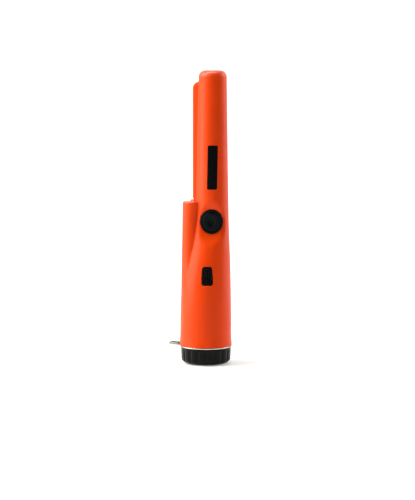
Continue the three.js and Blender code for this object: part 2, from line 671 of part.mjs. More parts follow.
// A chip or box part on the board's front: size across, thickness and size along the board.
function boardPart(x, z, width, thickness, height) {
  return boxBetween([x - width / 2, PART_FACE_Y - thickness, z - height / 2],
    [x + width / 2, PART_FACE_Y, z + height / 2]);
}

// Three-legged regulator: a round body with one flat side, lying against the board.
function regulatorGeometry() {
  const outline = new THREE.Shape();
  outline.absarc(0, 0, 2.3, Math.PI * 0.8, Math.PI * 2.2);
  return new THREE.ExtrudeGeometry(outline, { depth: 4.5, bevelEnabled: false, curveSegments: 8 })
    .translate(BOARD_X - 3.5, PART_FACE_Y - 1.4, 88);
}

// Upright can with a crimped groove near its foot.
function electrolyticGeometry() {
  const radius = 3.15;
  const foot = PART_FACE_Y;
  return latheY([
    [0, foot], [radius, foot], [radius, foot - 1], [radius - 0.3, foot - 1.3],
    [radius, foot - 1.6], [radius, foot - 7], [radius - 0.4, foot - 7.4], [0, foot - 7.4],
  ], BOARD_X + 4, 88, 24);
}

function buzzerSolid() {
  const front = BUZZER_FRONT_Y;
  const back = front + BUZZER_THICKNESS;
  const edge = 0.4;
  const can = solidOf(latheY([
    [0, back], [BUZZER_RADIUS - edge, back], [BUZZER_RADIUS, back - edge],
    [BUZZER_RADIUS, front + edge], [BUZZER_RADIUS - edge, front], [0, front],
  ], GRILLE_X, GRILLE_Z, 32));
  return can.subtract(solidOf(discY(1.2, front + 1.5, front - 1, GRILLE_X, GRILLE_Z, 16)));
}

// ---------- coil ----------

const formerBottom = COIL_REST_Z + GAP;

// A bobbin with three flanges, which keep the two windings apart.
function formerGeometry() {
  const flange = FORMER_FLANGE_THICKNESS;
  const middle = (formerBottom + FORMER_TOP) / 2;
  return latheZ([
    [FORMER_BORE, formerBottom], [FORMER_FLANGE, formerBottom],
    [FORMER_FLANGE, formerBottom + flange], [FORMER_RADIUS, formerBottom + flange],
    [FORMER_RADIUS, middle - flange / 2], [FORMER_FLANGE, middle - flange / 2],
    [FORMER_FLANGE, middle + flange / 2], [FORMER_RADIUS, middle + flange / 2],
    [FORMER_RADIUS, FORMER_TOP - flange], [FORMER_FLANGE, FORMER_TOP - flange],
    [FORMER_FLANGE, FORMER_TOP], [FORMER_BORE, FORMER_TOP], [FORMER_BORE, formerBottom],
  ]).translate(BOARD_X, 0, 0);
}

// One winding between two flanges: 0 is the lower coil and 1 is the upper one.
function coilGeometry(index) {
  const flange = FORMER_FLANGE_THICKNESS;
  const bay = (FORMER_TOP - formerBottom - 3 * flange) / 2;
  const low = formerBottom + flange + index * (bay + flange) + GAP;
  return ringZ(COIL_INNER, COIL_OUTER, low, low + bay - 2 * GAP, BOARD_X, 28);
}

function rodGeometry() {
  const bottom = formerBottom + GAP;
  const top = FORMER_TOP - GAP;
  return latheZ([
    [0, bottom], [ROD_RADIUS - 0.4, bottom], [ROD_RADIUS, bottom + 0.4], [ROD_RADIUS, top - 0.4],
    [ROD_RADIUS - 0.4, top], [0, top],
  ], 24).translate(BOARD_X, 0, 0);
}

function coilLead(x, startZ) {
  const outside = -COIL_OUTER - GAP - 0.05;
  const clear = -FORMER_FLANGE - 0.5;
  return wire([[x, outside, startZ], [x, clear, startZ - 2.5], [x, clear, 172], [x, -7.4, 165],
    [x, -3.5, 160.5], [x, -1, 157.5], [x, PART_FACE_Y, 156.8]], 0.35, 20);
}

// ---------- vibration motor ----------

function motorSolid() {
  const can = solidOf(latheZ([
    [0, MOTOR_BOTTOM], [MOTOR_RADIUS - 0.3, MOTOR_BOTTOM], [MOTOR_RADIUS, MOTOR_BOTTOM + 0.3],
    [MOTOR_RADIUS, MOTOR_TOP - 0.3], [MOTOR_RADIUS - 0.3, MOTOR_TOP], [0, MOTOR_TOP],
  ], 24).translate(MOTOR_X, 0, 0));
  return can.subtract(solidOf(discZ(0.9, MOTOR_TOP - 3, MOTOR_TOP + 1, MOTOR_X, 0, 12)));
}

function motorWeightSolid() {
  const shaft = solidOf(discZ(0.5, MOTOR_TOP - 2.5, MOTOR_TOP + 5.5, MOTOR_X, 0, 12));
  const half = new THREE.Shape();
  half.absarc(0, 0, 2.7, 0, Math.PI);
  half.absarc(0, 0, 1, Math.PI, 2 * Math.PI);
  const settings = { depth: 4, bevelEnabled: false, curveSegments: 12 };
  const weight = solidOf(new THREE.ExtrudeGeometry(half, settings)
    .translate(MOTOR_X, 0, MOTOR_TOP + 1));
  return joined(shaft, weight);
}

function motorPadSolid() {
  const pad = solidOf(ringZ(MOTOR_RADIUS + GAP, MOTOR_RADIUS + 1.5, MOTOR_BOTTOM + 1, MOTOR_TOP - 1,
    MOTOR_X, 24));
  const mouth = solidOf(boxBetween([MOTOR_X + 0.5, -6, MOTOR_BOTTOM], [MOTOR_X + 8, 6, MOTOR_TOP]));
  return pad.subtract(mouth);
}

// ---------- lamp ----------

function lampGeometry() {
  const flangeTop = HUMP_TOP - WALL - GAP;
  const flangeBottom = flangeTop - 1.3;
  const dome = [0, 1, 2, 3, 4, 5].map((i) => {
    const angle = (i / 5) * (Math.PI / 2);
    return [LED_RADIUS * Math.cos(angle), HUMP_TOP + LED_RISE + LED_RADIUS * Math.sin(angle)];
  });
  return latheZ([
    [0, flangeBottom], [LED_FLANGE_RADIUS, flangeBottom], [LED_FLANGE_RADIUS, flangeTop],
    [LED_RADIUS, flangeTop], ...dome,
  ], 24).translate(LED_X, 0, 0);
}

// ---------- battery ----------

function batteryGeometry() {
  const shape = roundedRectangle(BATTERY_WIDTH - 0.8, BATTERY_DEPTH - 0.8, 2.1);
  const bevel = 0.4;
  return new THREE.ExtrudeGeometry(shape, {
    depth: BATTERY_TOP - BATTERY_BOTTOM - 2 * bevel, bevelThickness: bevel, bevelSize: bevel,
    bevelSegments: 1, curveSegments: 4,
  }).translate(0, 0, BATTERY_BOTTOM + bevel);
}

const terminalBottom = BATTERY_TOP + GAP;
const terminalTop = terminalBottom + TERMINAL_HEIGHT;

function studGeometry() {
  return latheZ([
    [0, terminalBottom], [2.6, terminalBottom], [2.3, terminalBottom + 1],
    [2.8, terminalTop - 0.5], [2.4, terminalTop], [0, terminalTop],
  ]).translate(-TERMINAL_SPACING / 2, 0, 0);
}

function socketGeometry() {
  const floor = terminalBottom + 0.6;
  return latheZ([
    [0, terminalBottom], [3.9, terminalBottom], [3.9, terminalTop], [3, terminalTop], [3, floor],
    [0, floor],
  ], 6).translate(TERMINAL_SPACING / 2, 0, 0);
}

function snapConnectorSolid() {
  const shape = roundedRectangle(25.5, 12.5, 4);
  const settings = { depth: CONNECTOR_THICKNESS, bevelEnabled: false, curveSegments: 6 };
  const body = solidOf(new THREE.ExtrudeGeometry(shape, settings).translate(0, 0, terminalBottom));
  const pockets = [-1, 1].map((side) => solidOf(
    discZ(4.4, terminalBottom - 1, terminalTop + GAP, (side * TERMINAL_SPACING) / 2)));
  return cut(body, ...pockets);
}

// The lead on one side of the connector: 1 is the red one and -1 is the black one.
function batteryLead(side) {
  const start = terminalBottom + CONNECTOR_THICKNESS + GAP;
  const x = side * 1.3 - 0.8;
  return wire([[x - 0.5, -3.6, start], [x - 0.5, -4.2, start + 3], [x, -4.6, start + 7],
    [x, -3.2, start + 11], [x, PART_FACE_Y, start + 12.5]], 0.7, 12);
}

// ---------- assembly ----------

const probe = new THREE.Group();
probe.name = 'pinpointer_probe';

function addPiece(name, look, shape) {
  const solid = shape.isBufferGeometry ? solidOf(shape) : shape;
  const mesh = new THREE.Mesh(geometryOf(solid), LOOKS[look]());
  mesh.name = name;
  probe.add(mesh);
}

addPiece('housing', 'orangePlastic', housingSolid());
addPiece('blank_label', 'blackPlastic', labelSolid());
addPiece('speaker_grille', 'blackPlastic', grilleSolid());
addPiece('button_bezel', 'blackRubber', bezelSolid());
addPiece('power_button', 'blackRubber', buttonSolid());
addPiece('switch_plunger', 'blackPlastic', switchPlungerGeometry());
addPiece('switch_body', 'chipBlack', switchBodySolid());

addPiece('battery_cap', 'blackPlastic', capSolid());
addPiece('cap_o_ring', 'blackRubber', sealRingGeometry());
addPiece('lanyard_ring', 'steel', lanyardRingSolid());
addPiece('battery_pad', 'foam', discZ(14.4, CAP_FLOOR + GAP, BATTERY_BOTTOM - GAP, 0, 0, 32));

addPiece('chassis', 'greyPlastic', chassisSolid());
addPiece('main_board', 'boardGreen', boardSolid());
addPiece('board_screw_lower', 'steel', screwSolid(screwHeights[0]));
addPiece('board_screw_upper', 'steel', screwSolid(screwHeights[1]));
addPiece('microcontroller', 'chipBlack', boardPart(BOARD_X, 133, 7, 1.1, 7));
addPiece('amplifier_chip', 'chipBlack', boardPart(BOARD_X - 2.5, 143, 5, 1.5, 4));
addPiece('motor_driver_chip', 'chipBlack', boardPart(BOARD_X + 4, 100, 4, 1.5, 5));
addPiece('tuning_capacitor', 'capacitorFilm', boardPart(BOARD_X + 3.5, 147, 6.5, 4.5, 2.6));
addPiece('voltage_regulator', 'chipBlack', regulatorGeometry());
addPiece('electrolytic_capacitor', 'capacitorSleeve', electrolyticGeometry());

addPiece('buzzer_gasket', 'foam',
  ringY(2.4, 4, BUZZER_FRONT_Y - GAP, BUZZER_FRONT_Y - 1.2, GRILLE_X, GRILLE_Z, 24));
addPiece('piezo_buzzer', 'chipBlack', buzzerSolid());
addPiece('buzzer_lead_red', 'redWire',
  wire([[2.6, -8.3, 74], [2.6, -6, 74.5], [2.6, -2.5, 75], [2.6, PART_FACE_Y, 75]], 0.45, 8));
addPiece('buzzer_lead_black', 'blackWire',
  wire([[0, -8.3, 74], [0, -6, 74.5], [0, -2.5, 75], [0, PART_FACE_Y, 75]], 0.45, 8));

addPiece('ferrite_rod', 'ferrite', rodGeometry());
addPiece('coil_former', 'greyPlastic', formerGeometry());
addPiece('transmit_coil', 'copper', coilGeometry(0));
addPiece('receive_coil', 'copper', coilGeometry(1));
addPiece('transmit_coil_lead', 'copper', coilLead(BOARD_X - 1.6, 182));
addPiece('receive_coil_lead', 'copper', coilLead(BOARD_X + 1.6, 209));
addPiece('tip_cushion', 'foam',
  discZ(5.9, FORMER_TOP + GAP, TOTAL_HEIGHT - TIP_WALL - GAP, BOARD_X, 0, 24));

addPiece('vibration_motor', 'steel', motorSolid());
addPiece('motor_weight', 'steel', motorWeightSolid());
addPiece('motor_pad', 'foam', motorPadSolid());
addPiece('motor_lead_red', 'redWire',
  wire([[MOTOR_X + 1, -0.8, 83.6], [MOTOR_X + 1.3, -1, 80.5], [-6, -1.6, 79], [-2.2, -1, 80.5],
    [-1.6, PART_FACE_Y, 81]], 0.45, 14));
addPiece('motor_lead_black', 'blackWire',
  wire([[MOTOR_X - 1, -0.8, 83.6], [MOTOR_X - 0.6, -1, 79], [-6, -1.8, 76.4], [-2.2, -1, 77.6],
    [-1.6, PART_FACE_Y, 78]], 0.45, 14));

addPiece('lamp_led', 'clearLens', lampGeometry());
addPiece('lamp_lead_red', 'redWire',
  wire([[LED_X + 0.8, 0, 124.9], [LED_X + 1.2, -0.4, 121.5], [-5.5, -1.4, 119.5], [-2, -1, 121.5],
    [-1.5, PART_FACE_Y, 122.2]], 0.4, 14));
addPiece('lamp_lead_black', 'blackWire',
  wire([[LED_X - 0.8, 0, 124.9], [LED_X - 0.4, -0.4, 120], [-5.5, -1.6, 116.4], [-2.9, -1, 117.8],
    [-2.35, PART_FACE_Y, 118.4]], 0.4, 14));

addPiece('battery_9v', 'batteryShell', batteryGeometry());
addPiece('battery_terminal_positive', 'steel', studGeometry());
addPiece('battery_terminal_negative', 'steel', socketGeometry());
addPiece('snap_connector', 'blackPlastic', snapConnectorSolid());
addPiece('battery_lead_red', 'redWire', batteryLead(1));
addPiece('battery_lead_black', 'blackWire', batteryLead(-1));

export default probe;
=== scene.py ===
"""Looks of the pinpointer probe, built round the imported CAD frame.

Shapes are worked out in millimetres in the frame's own axes: +Z up to the tip, the button on -Y, the
blade and the lamp hump on -X. Meshes are written in metres.
"""

import json
import math

import bmesh
import bpy
import numpy as np
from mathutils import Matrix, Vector


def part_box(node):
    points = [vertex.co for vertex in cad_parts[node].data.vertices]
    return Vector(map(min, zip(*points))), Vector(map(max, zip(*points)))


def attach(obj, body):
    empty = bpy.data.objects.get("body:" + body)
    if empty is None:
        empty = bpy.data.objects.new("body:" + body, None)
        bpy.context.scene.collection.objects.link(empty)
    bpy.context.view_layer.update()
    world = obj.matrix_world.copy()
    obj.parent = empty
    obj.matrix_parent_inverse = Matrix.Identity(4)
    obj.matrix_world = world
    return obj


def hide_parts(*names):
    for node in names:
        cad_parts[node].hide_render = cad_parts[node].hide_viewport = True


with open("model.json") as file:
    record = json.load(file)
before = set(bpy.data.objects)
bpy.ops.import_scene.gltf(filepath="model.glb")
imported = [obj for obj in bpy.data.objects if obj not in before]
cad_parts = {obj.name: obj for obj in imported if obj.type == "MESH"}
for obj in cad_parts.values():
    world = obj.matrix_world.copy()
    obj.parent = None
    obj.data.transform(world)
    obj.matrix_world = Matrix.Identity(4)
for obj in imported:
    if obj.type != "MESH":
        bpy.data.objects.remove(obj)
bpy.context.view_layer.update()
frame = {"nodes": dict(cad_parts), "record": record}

MM = 0.001
TAU = 2 * math.pi


# ---------- sizes that the frame gives ----------

def node_box(node):
    """Lowest and highest corner of a CAD node, in millimetres."""
    low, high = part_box(node)
    return np.array(low) / MM, np.array(high) / MM


HOUSING_LOW, HOUSING_HIGH = node_box("housing")
CAP_HIGH = node_box("battery_cap")[1]
RING_LOW, RING_HIGH = node_box("lanyard_ring")
BEZEL_LOW, BEZEL_HIGH = node_box("button_bezel")
BUTTON_LOW, BUTTON_HIGH = node_box("power_button")
GRILLE_LOW, GRILLE_HIGH = node_box("speaker_grille")
LABEL_LOW, LABEL_HIGH = node_box("blank_label")
LAMP_LOW, LAMP_HIGH = node_box("lamp_led")
SEAL_LOW, SEAL_HIGH = node_box("cap_o_ring")

MOUTH = HOUSING_LOW[2]
TIP = HOUSING_HIGH[2]

# ---------- the housing's outline, as the CAD part has it ----------

WALL = 2.6
TIP_WALL = 3.0
TIP_FILLET = 5.0

# height, x of the right side, radius
BODY = np.array([
    (MOUTH, 20.75, 20.95),
    (19.5, 20.37, 20.55),
    (34, 20.16, 20.28),
    (50, 19.99, 19.95),
    (60, 19.8, 19.35),
    (70, 19.55, 18.5),
    (86, 19.15, 16.6),
    (94, 18.77, 15.5),
    (102, 18.43, 14.55),
    (114, 18.06, 13.4),
    (130, 17.76, 12.8),
    (180, 17.05, 11.85),
    (222, 16.5, 11.2),
    (TIP, 16.4, 11.05),
])

# height, x of the left side, radius
HUMP_TOP = 129.2
HUMP_FILLET = 1.0
HUMP = np.array([
    (36, -19.6, 18.9),
    (46, -19.8, 18.5),
    (56, -19.75, 16.1),
    (63, -19.62, 13.3),
    (70, -19.48, 11.2),
    (80, -19.32, 9.1),
    (92, -19.1, 8.1),
    (106, -18.8, 7.7),
    (HUMP_TOP, -18.4, 8.2),
])

BLADE_EDGE = -10.5
BLADE_TOP = 223.6
BLADE_CORNER = 5.3
BLADE_EDGE_THICKNESS = 2.6
BLADE_ROOT = -3.0
BLADE_ROOT_THICKNESS = 9.0
BLADE_ROUNDING = 1.2

BUTTON_X = (BUTTON_LOW[0] + BUTTON_HIGH[0]) / 2
BUTTON_Z = (BUTTON_LOW[2] + BUTTON_HIGH[2]) / 2
BEZEL_RADIUS = (BEZEL_HIGH[0] - BEZEL_LOW[0]) / 2
BUTTON_SEAT = -7.4
BUTTON_WALL = -5.6
BUTTON_WALL_HALF = 18.0
BUTTON_RADIUS = 6.9
BUTTON_OVAL = 1.1
BUTTON_FLANGE = 8.0
DISH_FLOOR = -8.9
DISH_RADIUS = 29.0
DISH_ROUNDING = 1.2

GRILLE_X = (GRILLE_LOW[0] + GRILLE_HIGH[0]) / 2
GRILLE_Z = (GRILLE_LOW[2] + GRILLE_HIGH[2]) / 2
GRILLE_WIDTH = GRILLE_HIGH[0] - GRILLE_LOW[0]
GRILLE_HEIGHT = GRILLE_HIGH[2] - GRILLE_LOW[2]
LAMP_X = (LAMP_LOW[0] + LAMP_HIGH[0]) / 2
LAMP_HOLE_RADIUS = 1.62
BUZZER_SEAT_RADIUS = 8.5
BUZZER_SEAT_BORE = 7.35

EAR_ANGLE = math.radians(153)
EAR_HOLE_AT = 29.1
EAR_HOLE_RADIUS = 2.1
EAR_TIP_RADIUS = 3.6
EAR_BASE = math.radians(18)
EAR_SIDE = math.radians(68)
FOLD_START = 22.4
FOLD_HALF_WIDTH = 5.0
FOLD_GAP = 0.04
SHEET = 0.8
RING_BORE = 17.95
RING_EDGE = 0.12

THREAD_PITCH = 3.0
THREAD_HEIGHT = 0.75
THREAD_START = 19.2
THREAD_TURNS = 1.6
PLUG_RADIUS = 16.9
PLUG_BORE = 15.5
THREAD_BORE = PLUG_RADIUS + 0.35
THREAD_ZONE_TOP = 26.1
SEAL_BORE = 18.8
SEAL_TOP = 18.2


def hermite(heights, values):
    """A smooth function of height through the given values."""
    slopes = np.gradient(values, heights)

    def at(z):
        z = np.clip(z, heights[0], heights[-1])
        i = np.clip(np.searchsorted(heights, z) - 1, 0, len(heights) - 2)
        span = heights[i + 1] - heights[i]
        t = (z - heights[i]) / span
        rise = t * t * (3 - 2 * t)
        start = t * (1 - t) ** 2 * span * slopes[i]
        end = t * t * (t - 1) * span * slopes[i + 1]
        return values[i] + (values[i + 1] - values[i]) * rise + start + end

    return at


body_radius = hermite(BODY[:, 0], BODY[:, 2])
body_middle = hermite(BODY[:, 0], BODY[:, 1] - BODY[:, 2])
hump_radius = hermite(HUMP[:, 0], HUMP[:, 2])
hump_middle = hermite(HUMP[:, 0], HUMP[:, 1] + HUMP[:, 2])


# ---------- distance fields ----------

def both(a, b, rounding):
    """What is inside both fields, with its outer edge rounded."""
    corner = np.hypot(np.maximum(a + rounding, 0), np.maximum(b + rounding, 0))
    return np.minimum(-rounding, np.maximum(a, b)) + corner


def either(a, b, fillet):
    """What is inside either field, with a fillet where they meet."""
    corner = np.hypot(np.maximum(fillet - a, 0), np.maximum(fillet - b, 0))
    return np.maximum(fillet, np.minimum(a, b)) - corner


def without(a, b, rounding):
    return both(a, -b, rounding)


def disc_y(x, y, z, radius, back, front, at_x, at_z, oval=1.0):
    """A disc whose axis runs along Y, from back to the lower y of front, oval times as high as wide."""
    across = np.hypot(x - at_x, (z - at_z) / oval) - radius
    along = np.maximum(y - back, front - y)
    return np.maximum(across, along)


def window(x, z, at_x, at_z, width, height, corner):
    """A rounded rectangle seen along Y."""
    dx = np.abs(x - at_x) - width / 2 + corner
    dz = np.abs(z - at_z) - height / 2 + corner
    outside = np.hypot(np.maximum(dx, 0), np.maximum(dz, 0))
    return outside + np.minimum(np.maximum(dx, dz), 0) - corner


def body_field(x, y, z, growth=0.0):
    return np.hypot(x - body_middle(z), y) - body_radius(z) - growth


def hump_field(x, y, z, growth=0.0, top=HUMP_TOP, fillet=HUMP_FILLET):
    side = np.hypot(x - hump_middle(z), y) - hump_radius(z) - growth
    side = side + 0.05 * np.maximum(0, 50 - z)
    return both(side, z - top, fillet)


def blade_field(x, y, z):
    dx = BLADE_EDGE + BLADE_CORNER - x
    dz = z - (BLADE_TOP - BLADE_CORNER)
    outline = np.hypot(np.maximum(dx, 0), np.maximum(dz, 0))
    outline = outline + np.minimum(np.maximum(dx, dz), 0) - BLADE_CORNER
    outline = np.maximum(outline, np.maximum(HUMP_TOP - 2 - z, x - BLADE_ROOT))
    flare = (BLADE_ROOT_THICKNESS - BLADE_EDGE_THICKNESS) / 2 / (BLADE_ROOT - BLADE_EDGE)
    face = np.abs(y) - BLADE_EDGE_THICKNESS / 2 - (x - BLADE_EDGE) * flare
    return both(outline, face / math.hypot(1, flare), BLADE_ROUNDING)


def thread_rise(angle, z, height, root, crest, first, last):
    """How far the thread stands out at an angle (radians) and a height."""
    lead = z / THREAD_PITCH - angle / TAU
    off = (lead - np.round(lead)) * THREAD_PITCH
    slope = (root - crest) / 2
    rise = np.clip((root / 2 - np.abs(off)) / slope, 0, 1)
    middle = z - off
    fade = np.clip((middle - first) / 0.5, 0, 1) * np.clip((last - middle) / 0.5, 0, 1)
    return height * rise * rise * (3 - 2 * rise) * fade


def cavity_field(x, y, z):
    round_tip = both(body_field(x, y, z, -WALL), z - (TIP - TIP_WALL), 3.0)
    neck = np.maximum(round_tip, THREAD_ZONE_TOP - 1 - z)
    hump = hump_field(x, y, z, -WALL, HUMP_TOP - WALL)
    inside = np.minimum(neck, hump)
    block = np.abs(z - BUTTON_Z) - BUTTON_WALL_HALF
    block = np.maximum(block, y - BUTTON_WALL)
    seat = disc_y(x, y, z, BUZZER_SEAT_RADIUS, -10.5, -20, GRILLE_X, GRILLE_Z)
    seat = np.maximum(seat, BUZZER_SEAT_BORE - np.hypot(x - GRILLE_X, z - GRILLE_Z))
    return without(without(inside, block, 0.5), seat, 0.3)


def grille_outline(x, z, growth=0.0):
    """The grille's outline, which narrows a little towards the tip."""
    taper = 0.93 - 0.01 * (z - GRILLE_Z)
    width, height = GRILLE_WIDTH + 2 * growth, GRILLE_HEIGHT + 2 * growth
    return window(GRILLE_X + (x - GRILLE_X) / taper, z, GRILLE_X, GRILLE_Z, width, height, 2.0 + growth)


def housing_field(x, y, z):
    tube = both(body_field(x, y, z), z - TIP, TIP_FILLET)
    shell = either(tube, blade_field(x, y, z), 0.7)
    shell = either(shell, hump_field(x, y, z), 0.5)
    shell = both(shell, MOUTH - z, 0.35)
    dish = DISH_RADIUS - np.hypot(y - (DISH_FLOOR - DISH_RADIUS), z - BUTTON_Z)
    shell = both(shell, dish, DISH_ROUNDING)
    shell = without(shell, cavity_field(x, y, z), 0.2)
    pocket = disc_y(x, y, z, BEZEL_RADIUS + 0.12, BUTTON_SEAT, -30, BUTTON_X, BUTTON_Z, BUTTON_OVAL)
    shell = without(shell, pocket, 0.25)
    hole = disc_y(x, y, z, BUTTON_RADIUS + 0.4, 0, -30, BUTTON_X, BUTTON_Z, BUTTON_OVAL)
    shell = without(shell, hole, 0.1)
    grille = grille_outline(x, z, 0.15)
    shell = without(shell, np.maximum(grille, y + 8), 0.25)
    lamp = np.hypot(x - LAMP_X, y) - LAMP_HOLE_RADIUS
    lamp = np.maximum(lamp, np.maximum(z - HUMP_TOP - 2.6, HUMP_TOP - 5 - z))
    shell = without(shell, lamp, 0.12)
    across = np.hypot(x, y)
    seal = np.maximum(across - SEAL_BORE, z - SEAL_TOP)
    groove = thread_rise(np.arctan2(y, x), z, height=0.7, root=2.1, crest=1.3, first=-9, last=99)
    bore = np.maximum(across - THREAD_BORE - groove, z - THREAD_ZONE_TOP)
    return without(shell, np.minimum(seal, bore), 0.15)


# ---------- meshing a field ----------

CUBE = [(i, j, k) for i in (0, 1) for j in (0, 1) for k in (0, 1)]
CUBE_EDGES = [(a, b) for a in CUBE for b in CUBE if a < b and sum(b) - sum(a) == 1
              and sum(p != q for p, q in zip(a, b)) == 1]


def field_slope(field, points, step=0.02):
    slope = np.empty_like(points)
    for axis in range(3):
        ahead = points.copy()
        behind = points.copy()
        ahead[:, axis] += step
        behind[:, axis] -= step
        slope[:, axis] = (field(*ahead.T) - field(*behind.T)) / (2 * step)
    return slope


def surface(field, xs, ys, zs, settle=6):
    """Quads on the field's zero surface over a grid with the given lines, and their normals."""
    grid = np.meshgrid(xs, ys, zs, indexing="ij")
    values = field(*grid)
    inside = values < 0
    shape = tuple(n - 1 for n in inside.shape)

    def corner(array, at):
        return array[tuple(slice(o, o + n) for o, n in zip(at, shape))]

    count = sum(corner(inside, at).astype(np.int8) for at in CUBE)
    cells = np.argwhere((count > 0) & (count < 8))
    number = np.full(shape, -1, np.int64)
    number[tuple(cells.T)] = np.arange(len(cells))
    total = np.zeros((len(cells), 3))
    hits = np.zeros(len(cells))
    axes = (xs, ys, zs)
    for a, b in CUBE_EDGES:
        at_a = cells + a
        at_b = cells + b
        value_a = values[tuple(at_a.T)]
        value_b = values[tuple(at_b.T)]
        crosses = (value_a < 0) != (value_b < 0)
        share = np.where(crosses, value_a / np.where(crosses, value_a - value_b, 1), 0)
        for axis in range(3):
            line = axes[axis]
            start = line[at_a[:, axis]]
            total[:, axis] += crosses * (start + share * (line[at_b[:, axis]] - start))
        hits += crosses
    points = total / hits[:, None]

    quads = []
    for axis in range(3):
        u, v = (axis + 1) % 3, (axis + 2) % 3
        low = [slice(None)] * 3
        high = [slice(None)] * 3
        low[axis] = slice(0, -1)
        high[axis] = slice(1, None)
        change = inside[tuple(low)] != inside[tuple(high)]
        at = np.argwhere(change)
        keep = (at[:, u] > 0) & (at[:, v] > 0)
        keep &= (at[:, u] < shape[u]) & (at[:, v] < shape[v])
        at = at[keep]
        steps = []
        for du, dv in ((1, 1), (0, 1), (0, 0), (1, 0)):
            cell = at.copy()
            cell[:, u] -= du
            cell[:, v] -= dv
            steps.append(number[tuple(cell.T)])
        faces = np.stack(steps, axis=1)
        starts_inside = inside[tuple(at.T)]
        faces[~starts_inside] = faces[~starts_inside][:, ::-1]
        quads.append(faces)
    quads = np.concatenate(quads)

    start = points.copy()
    reach = 0.6 * min(np.diff(line).min() for line in axes)
    for _ in range(settle):
        slope = field_slope(field, points)
        size = np.maximum((slope ** 2).sum(axis=1), 0.2)
        points = points - slope * (field(*points.T) / size)[:, None]
        move = points - start
        length = np.linalg.norm(move, axis=1, keepdims=True)
        points = start + move * np.minimum(1, reach / np.maximum(length, 1e-9))
    normals = field_slope(field, points)
    normals /= np.maximum(np.linalg.norm(normals, axis=1, keepdims=True), 1e-9)
    return points, quads, normals


def lines(*stretches):
    """Grid lines through stretches of (end, spacing), starting at the first number."""
    start, rest = stretches[0], stretches[1:]
    values = [start]
    for end, spacing in rest:
        steps = max(1, round((end - start) / spacing))
        values += [start + (end - start) * i / steps for i in range(1, steps + 1)]
        start = end
    return np.array(values)


# ---------- mesh helpers ----------

def new_object(name, points, faces, normals=None, sharp=math.radians(34)):
    """A smooth-shaded mesh object from points in millimetres."""
    mesh = bpy.data.meshes.new(name)
    mesh.from_pydata(np.asarray(points, float) * MM, [], [list(map(int, f)) for f in faces])
    mesh.update()
    mesh.shade_smooth()
    if normals is None:
        mesh.set_sharp_from_angle(angle=sharp)
    else:
        mesh.normals_split_custom_set_from_vertices(normals)
    obj = bpy.data.objects.new(name, mesh)
    bpy.context.scene.collection.objects.link(obj)
    return obj


def rounded_path(corners, closed=False, steps=5):
    """A path through (a, b, radius) corners, with each corner rounded to its radius."""
    points = []
    count = len(corners)
    for i, (a, b, radius) in enumerate(corners):
        here = np.array((a, b), float)
        ends = not closed and i in (0, count - 1)
        if radius <= 0 or ends:
            points.append(here)
            continue
        back = np.array(corners[i - 1][:2], float) - here
        ahead = np.array(corners[(i + 1) % count][:2], float) - here
        back /= np.linalg.norm(back)
        ahead /= np.linalg.norm(ahead)
        half = math.acos(np.clip(back @ ahead, -1, 1)) / 2
        reach = radius / math.tan(half)
        middle = here + (back + ahead) / np.linalg.norm(back + ahead) * radius / math.sin(half)
        first = here + back * reach - middle
        last = here + ahead * reach - middle
        turn = math.acos(np.clip(first @ last / radius ** 2, -1, 1))
        for k in range(steps + 1):
            t = k / steps
            mix = (math.sin((1 - t) * turn) * first + math.sin(t * turn) * last) / math.sin(turn)
            points.append(middle + mix)
    return np.array(points)


def revolve(name, profile, axis, centre, segments=96, closed=False, bend=None, oval=1.0):
    """A round piece from (radius, along) points, about an axis through the centre.

    A profile that isn't closed starts and ends on the axis. bend may change radius and
    height at an angle, and oval stretches a piece whose axis is y along Z.
    """
    angles = np.arange(segments) * TAU / segments
    radius, along = profile[:, 0], profile[:, 1]
    rings = []
    for angle in angles:
        r, h = (radius, along) if bend is None else bend(radius, along, angle)
        if axis == "z":
            ring = np.stack([r * math.cos(angle), r * math.sin(angle), h], axis=1)
        else:
            ring = np.stack([r * math.cos(angle), h, r * math.sin(angle) * oval], axis=1)
        rings.append(ring)
    count = len(profile)
    points = np.concatenate(rings) + np.array(centre)
    faces = []
    for s in range(segments):
        a, b = s * count, (s + 1) % segments * count
        for i in range(count if closed else count - 1):
            j = (i + 1) % count
            faces.append((a + i, b + i, b + j, a + j))
    obj = new_object(name, points, faces)
    work = bmesh.new()
    work.from_mesh(obj.data)
    bmesh.ops.remove_doubles(work, verts=work.verts, dist=1e-7)
    bmesh.ops.recalc_face_normals(work, faces=work.faces)
    work.to_mesh(obj.data)
    work.free()
    obj.data.shade_smooth()
    obj.data.set_sharp_from_angle(angle=math.radians(34))
    return obj


def place(obj, body, slot, material, *nodes):
    """Puts a made piece on its body, in place of the CAD nodes that it shows."""
    obj.data.materials.clear()
    obj.data.materials.append(material)
    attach(obj, body)
    if nodes:
        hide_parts(*nodes)
    return obj


# ---------- materials ----------

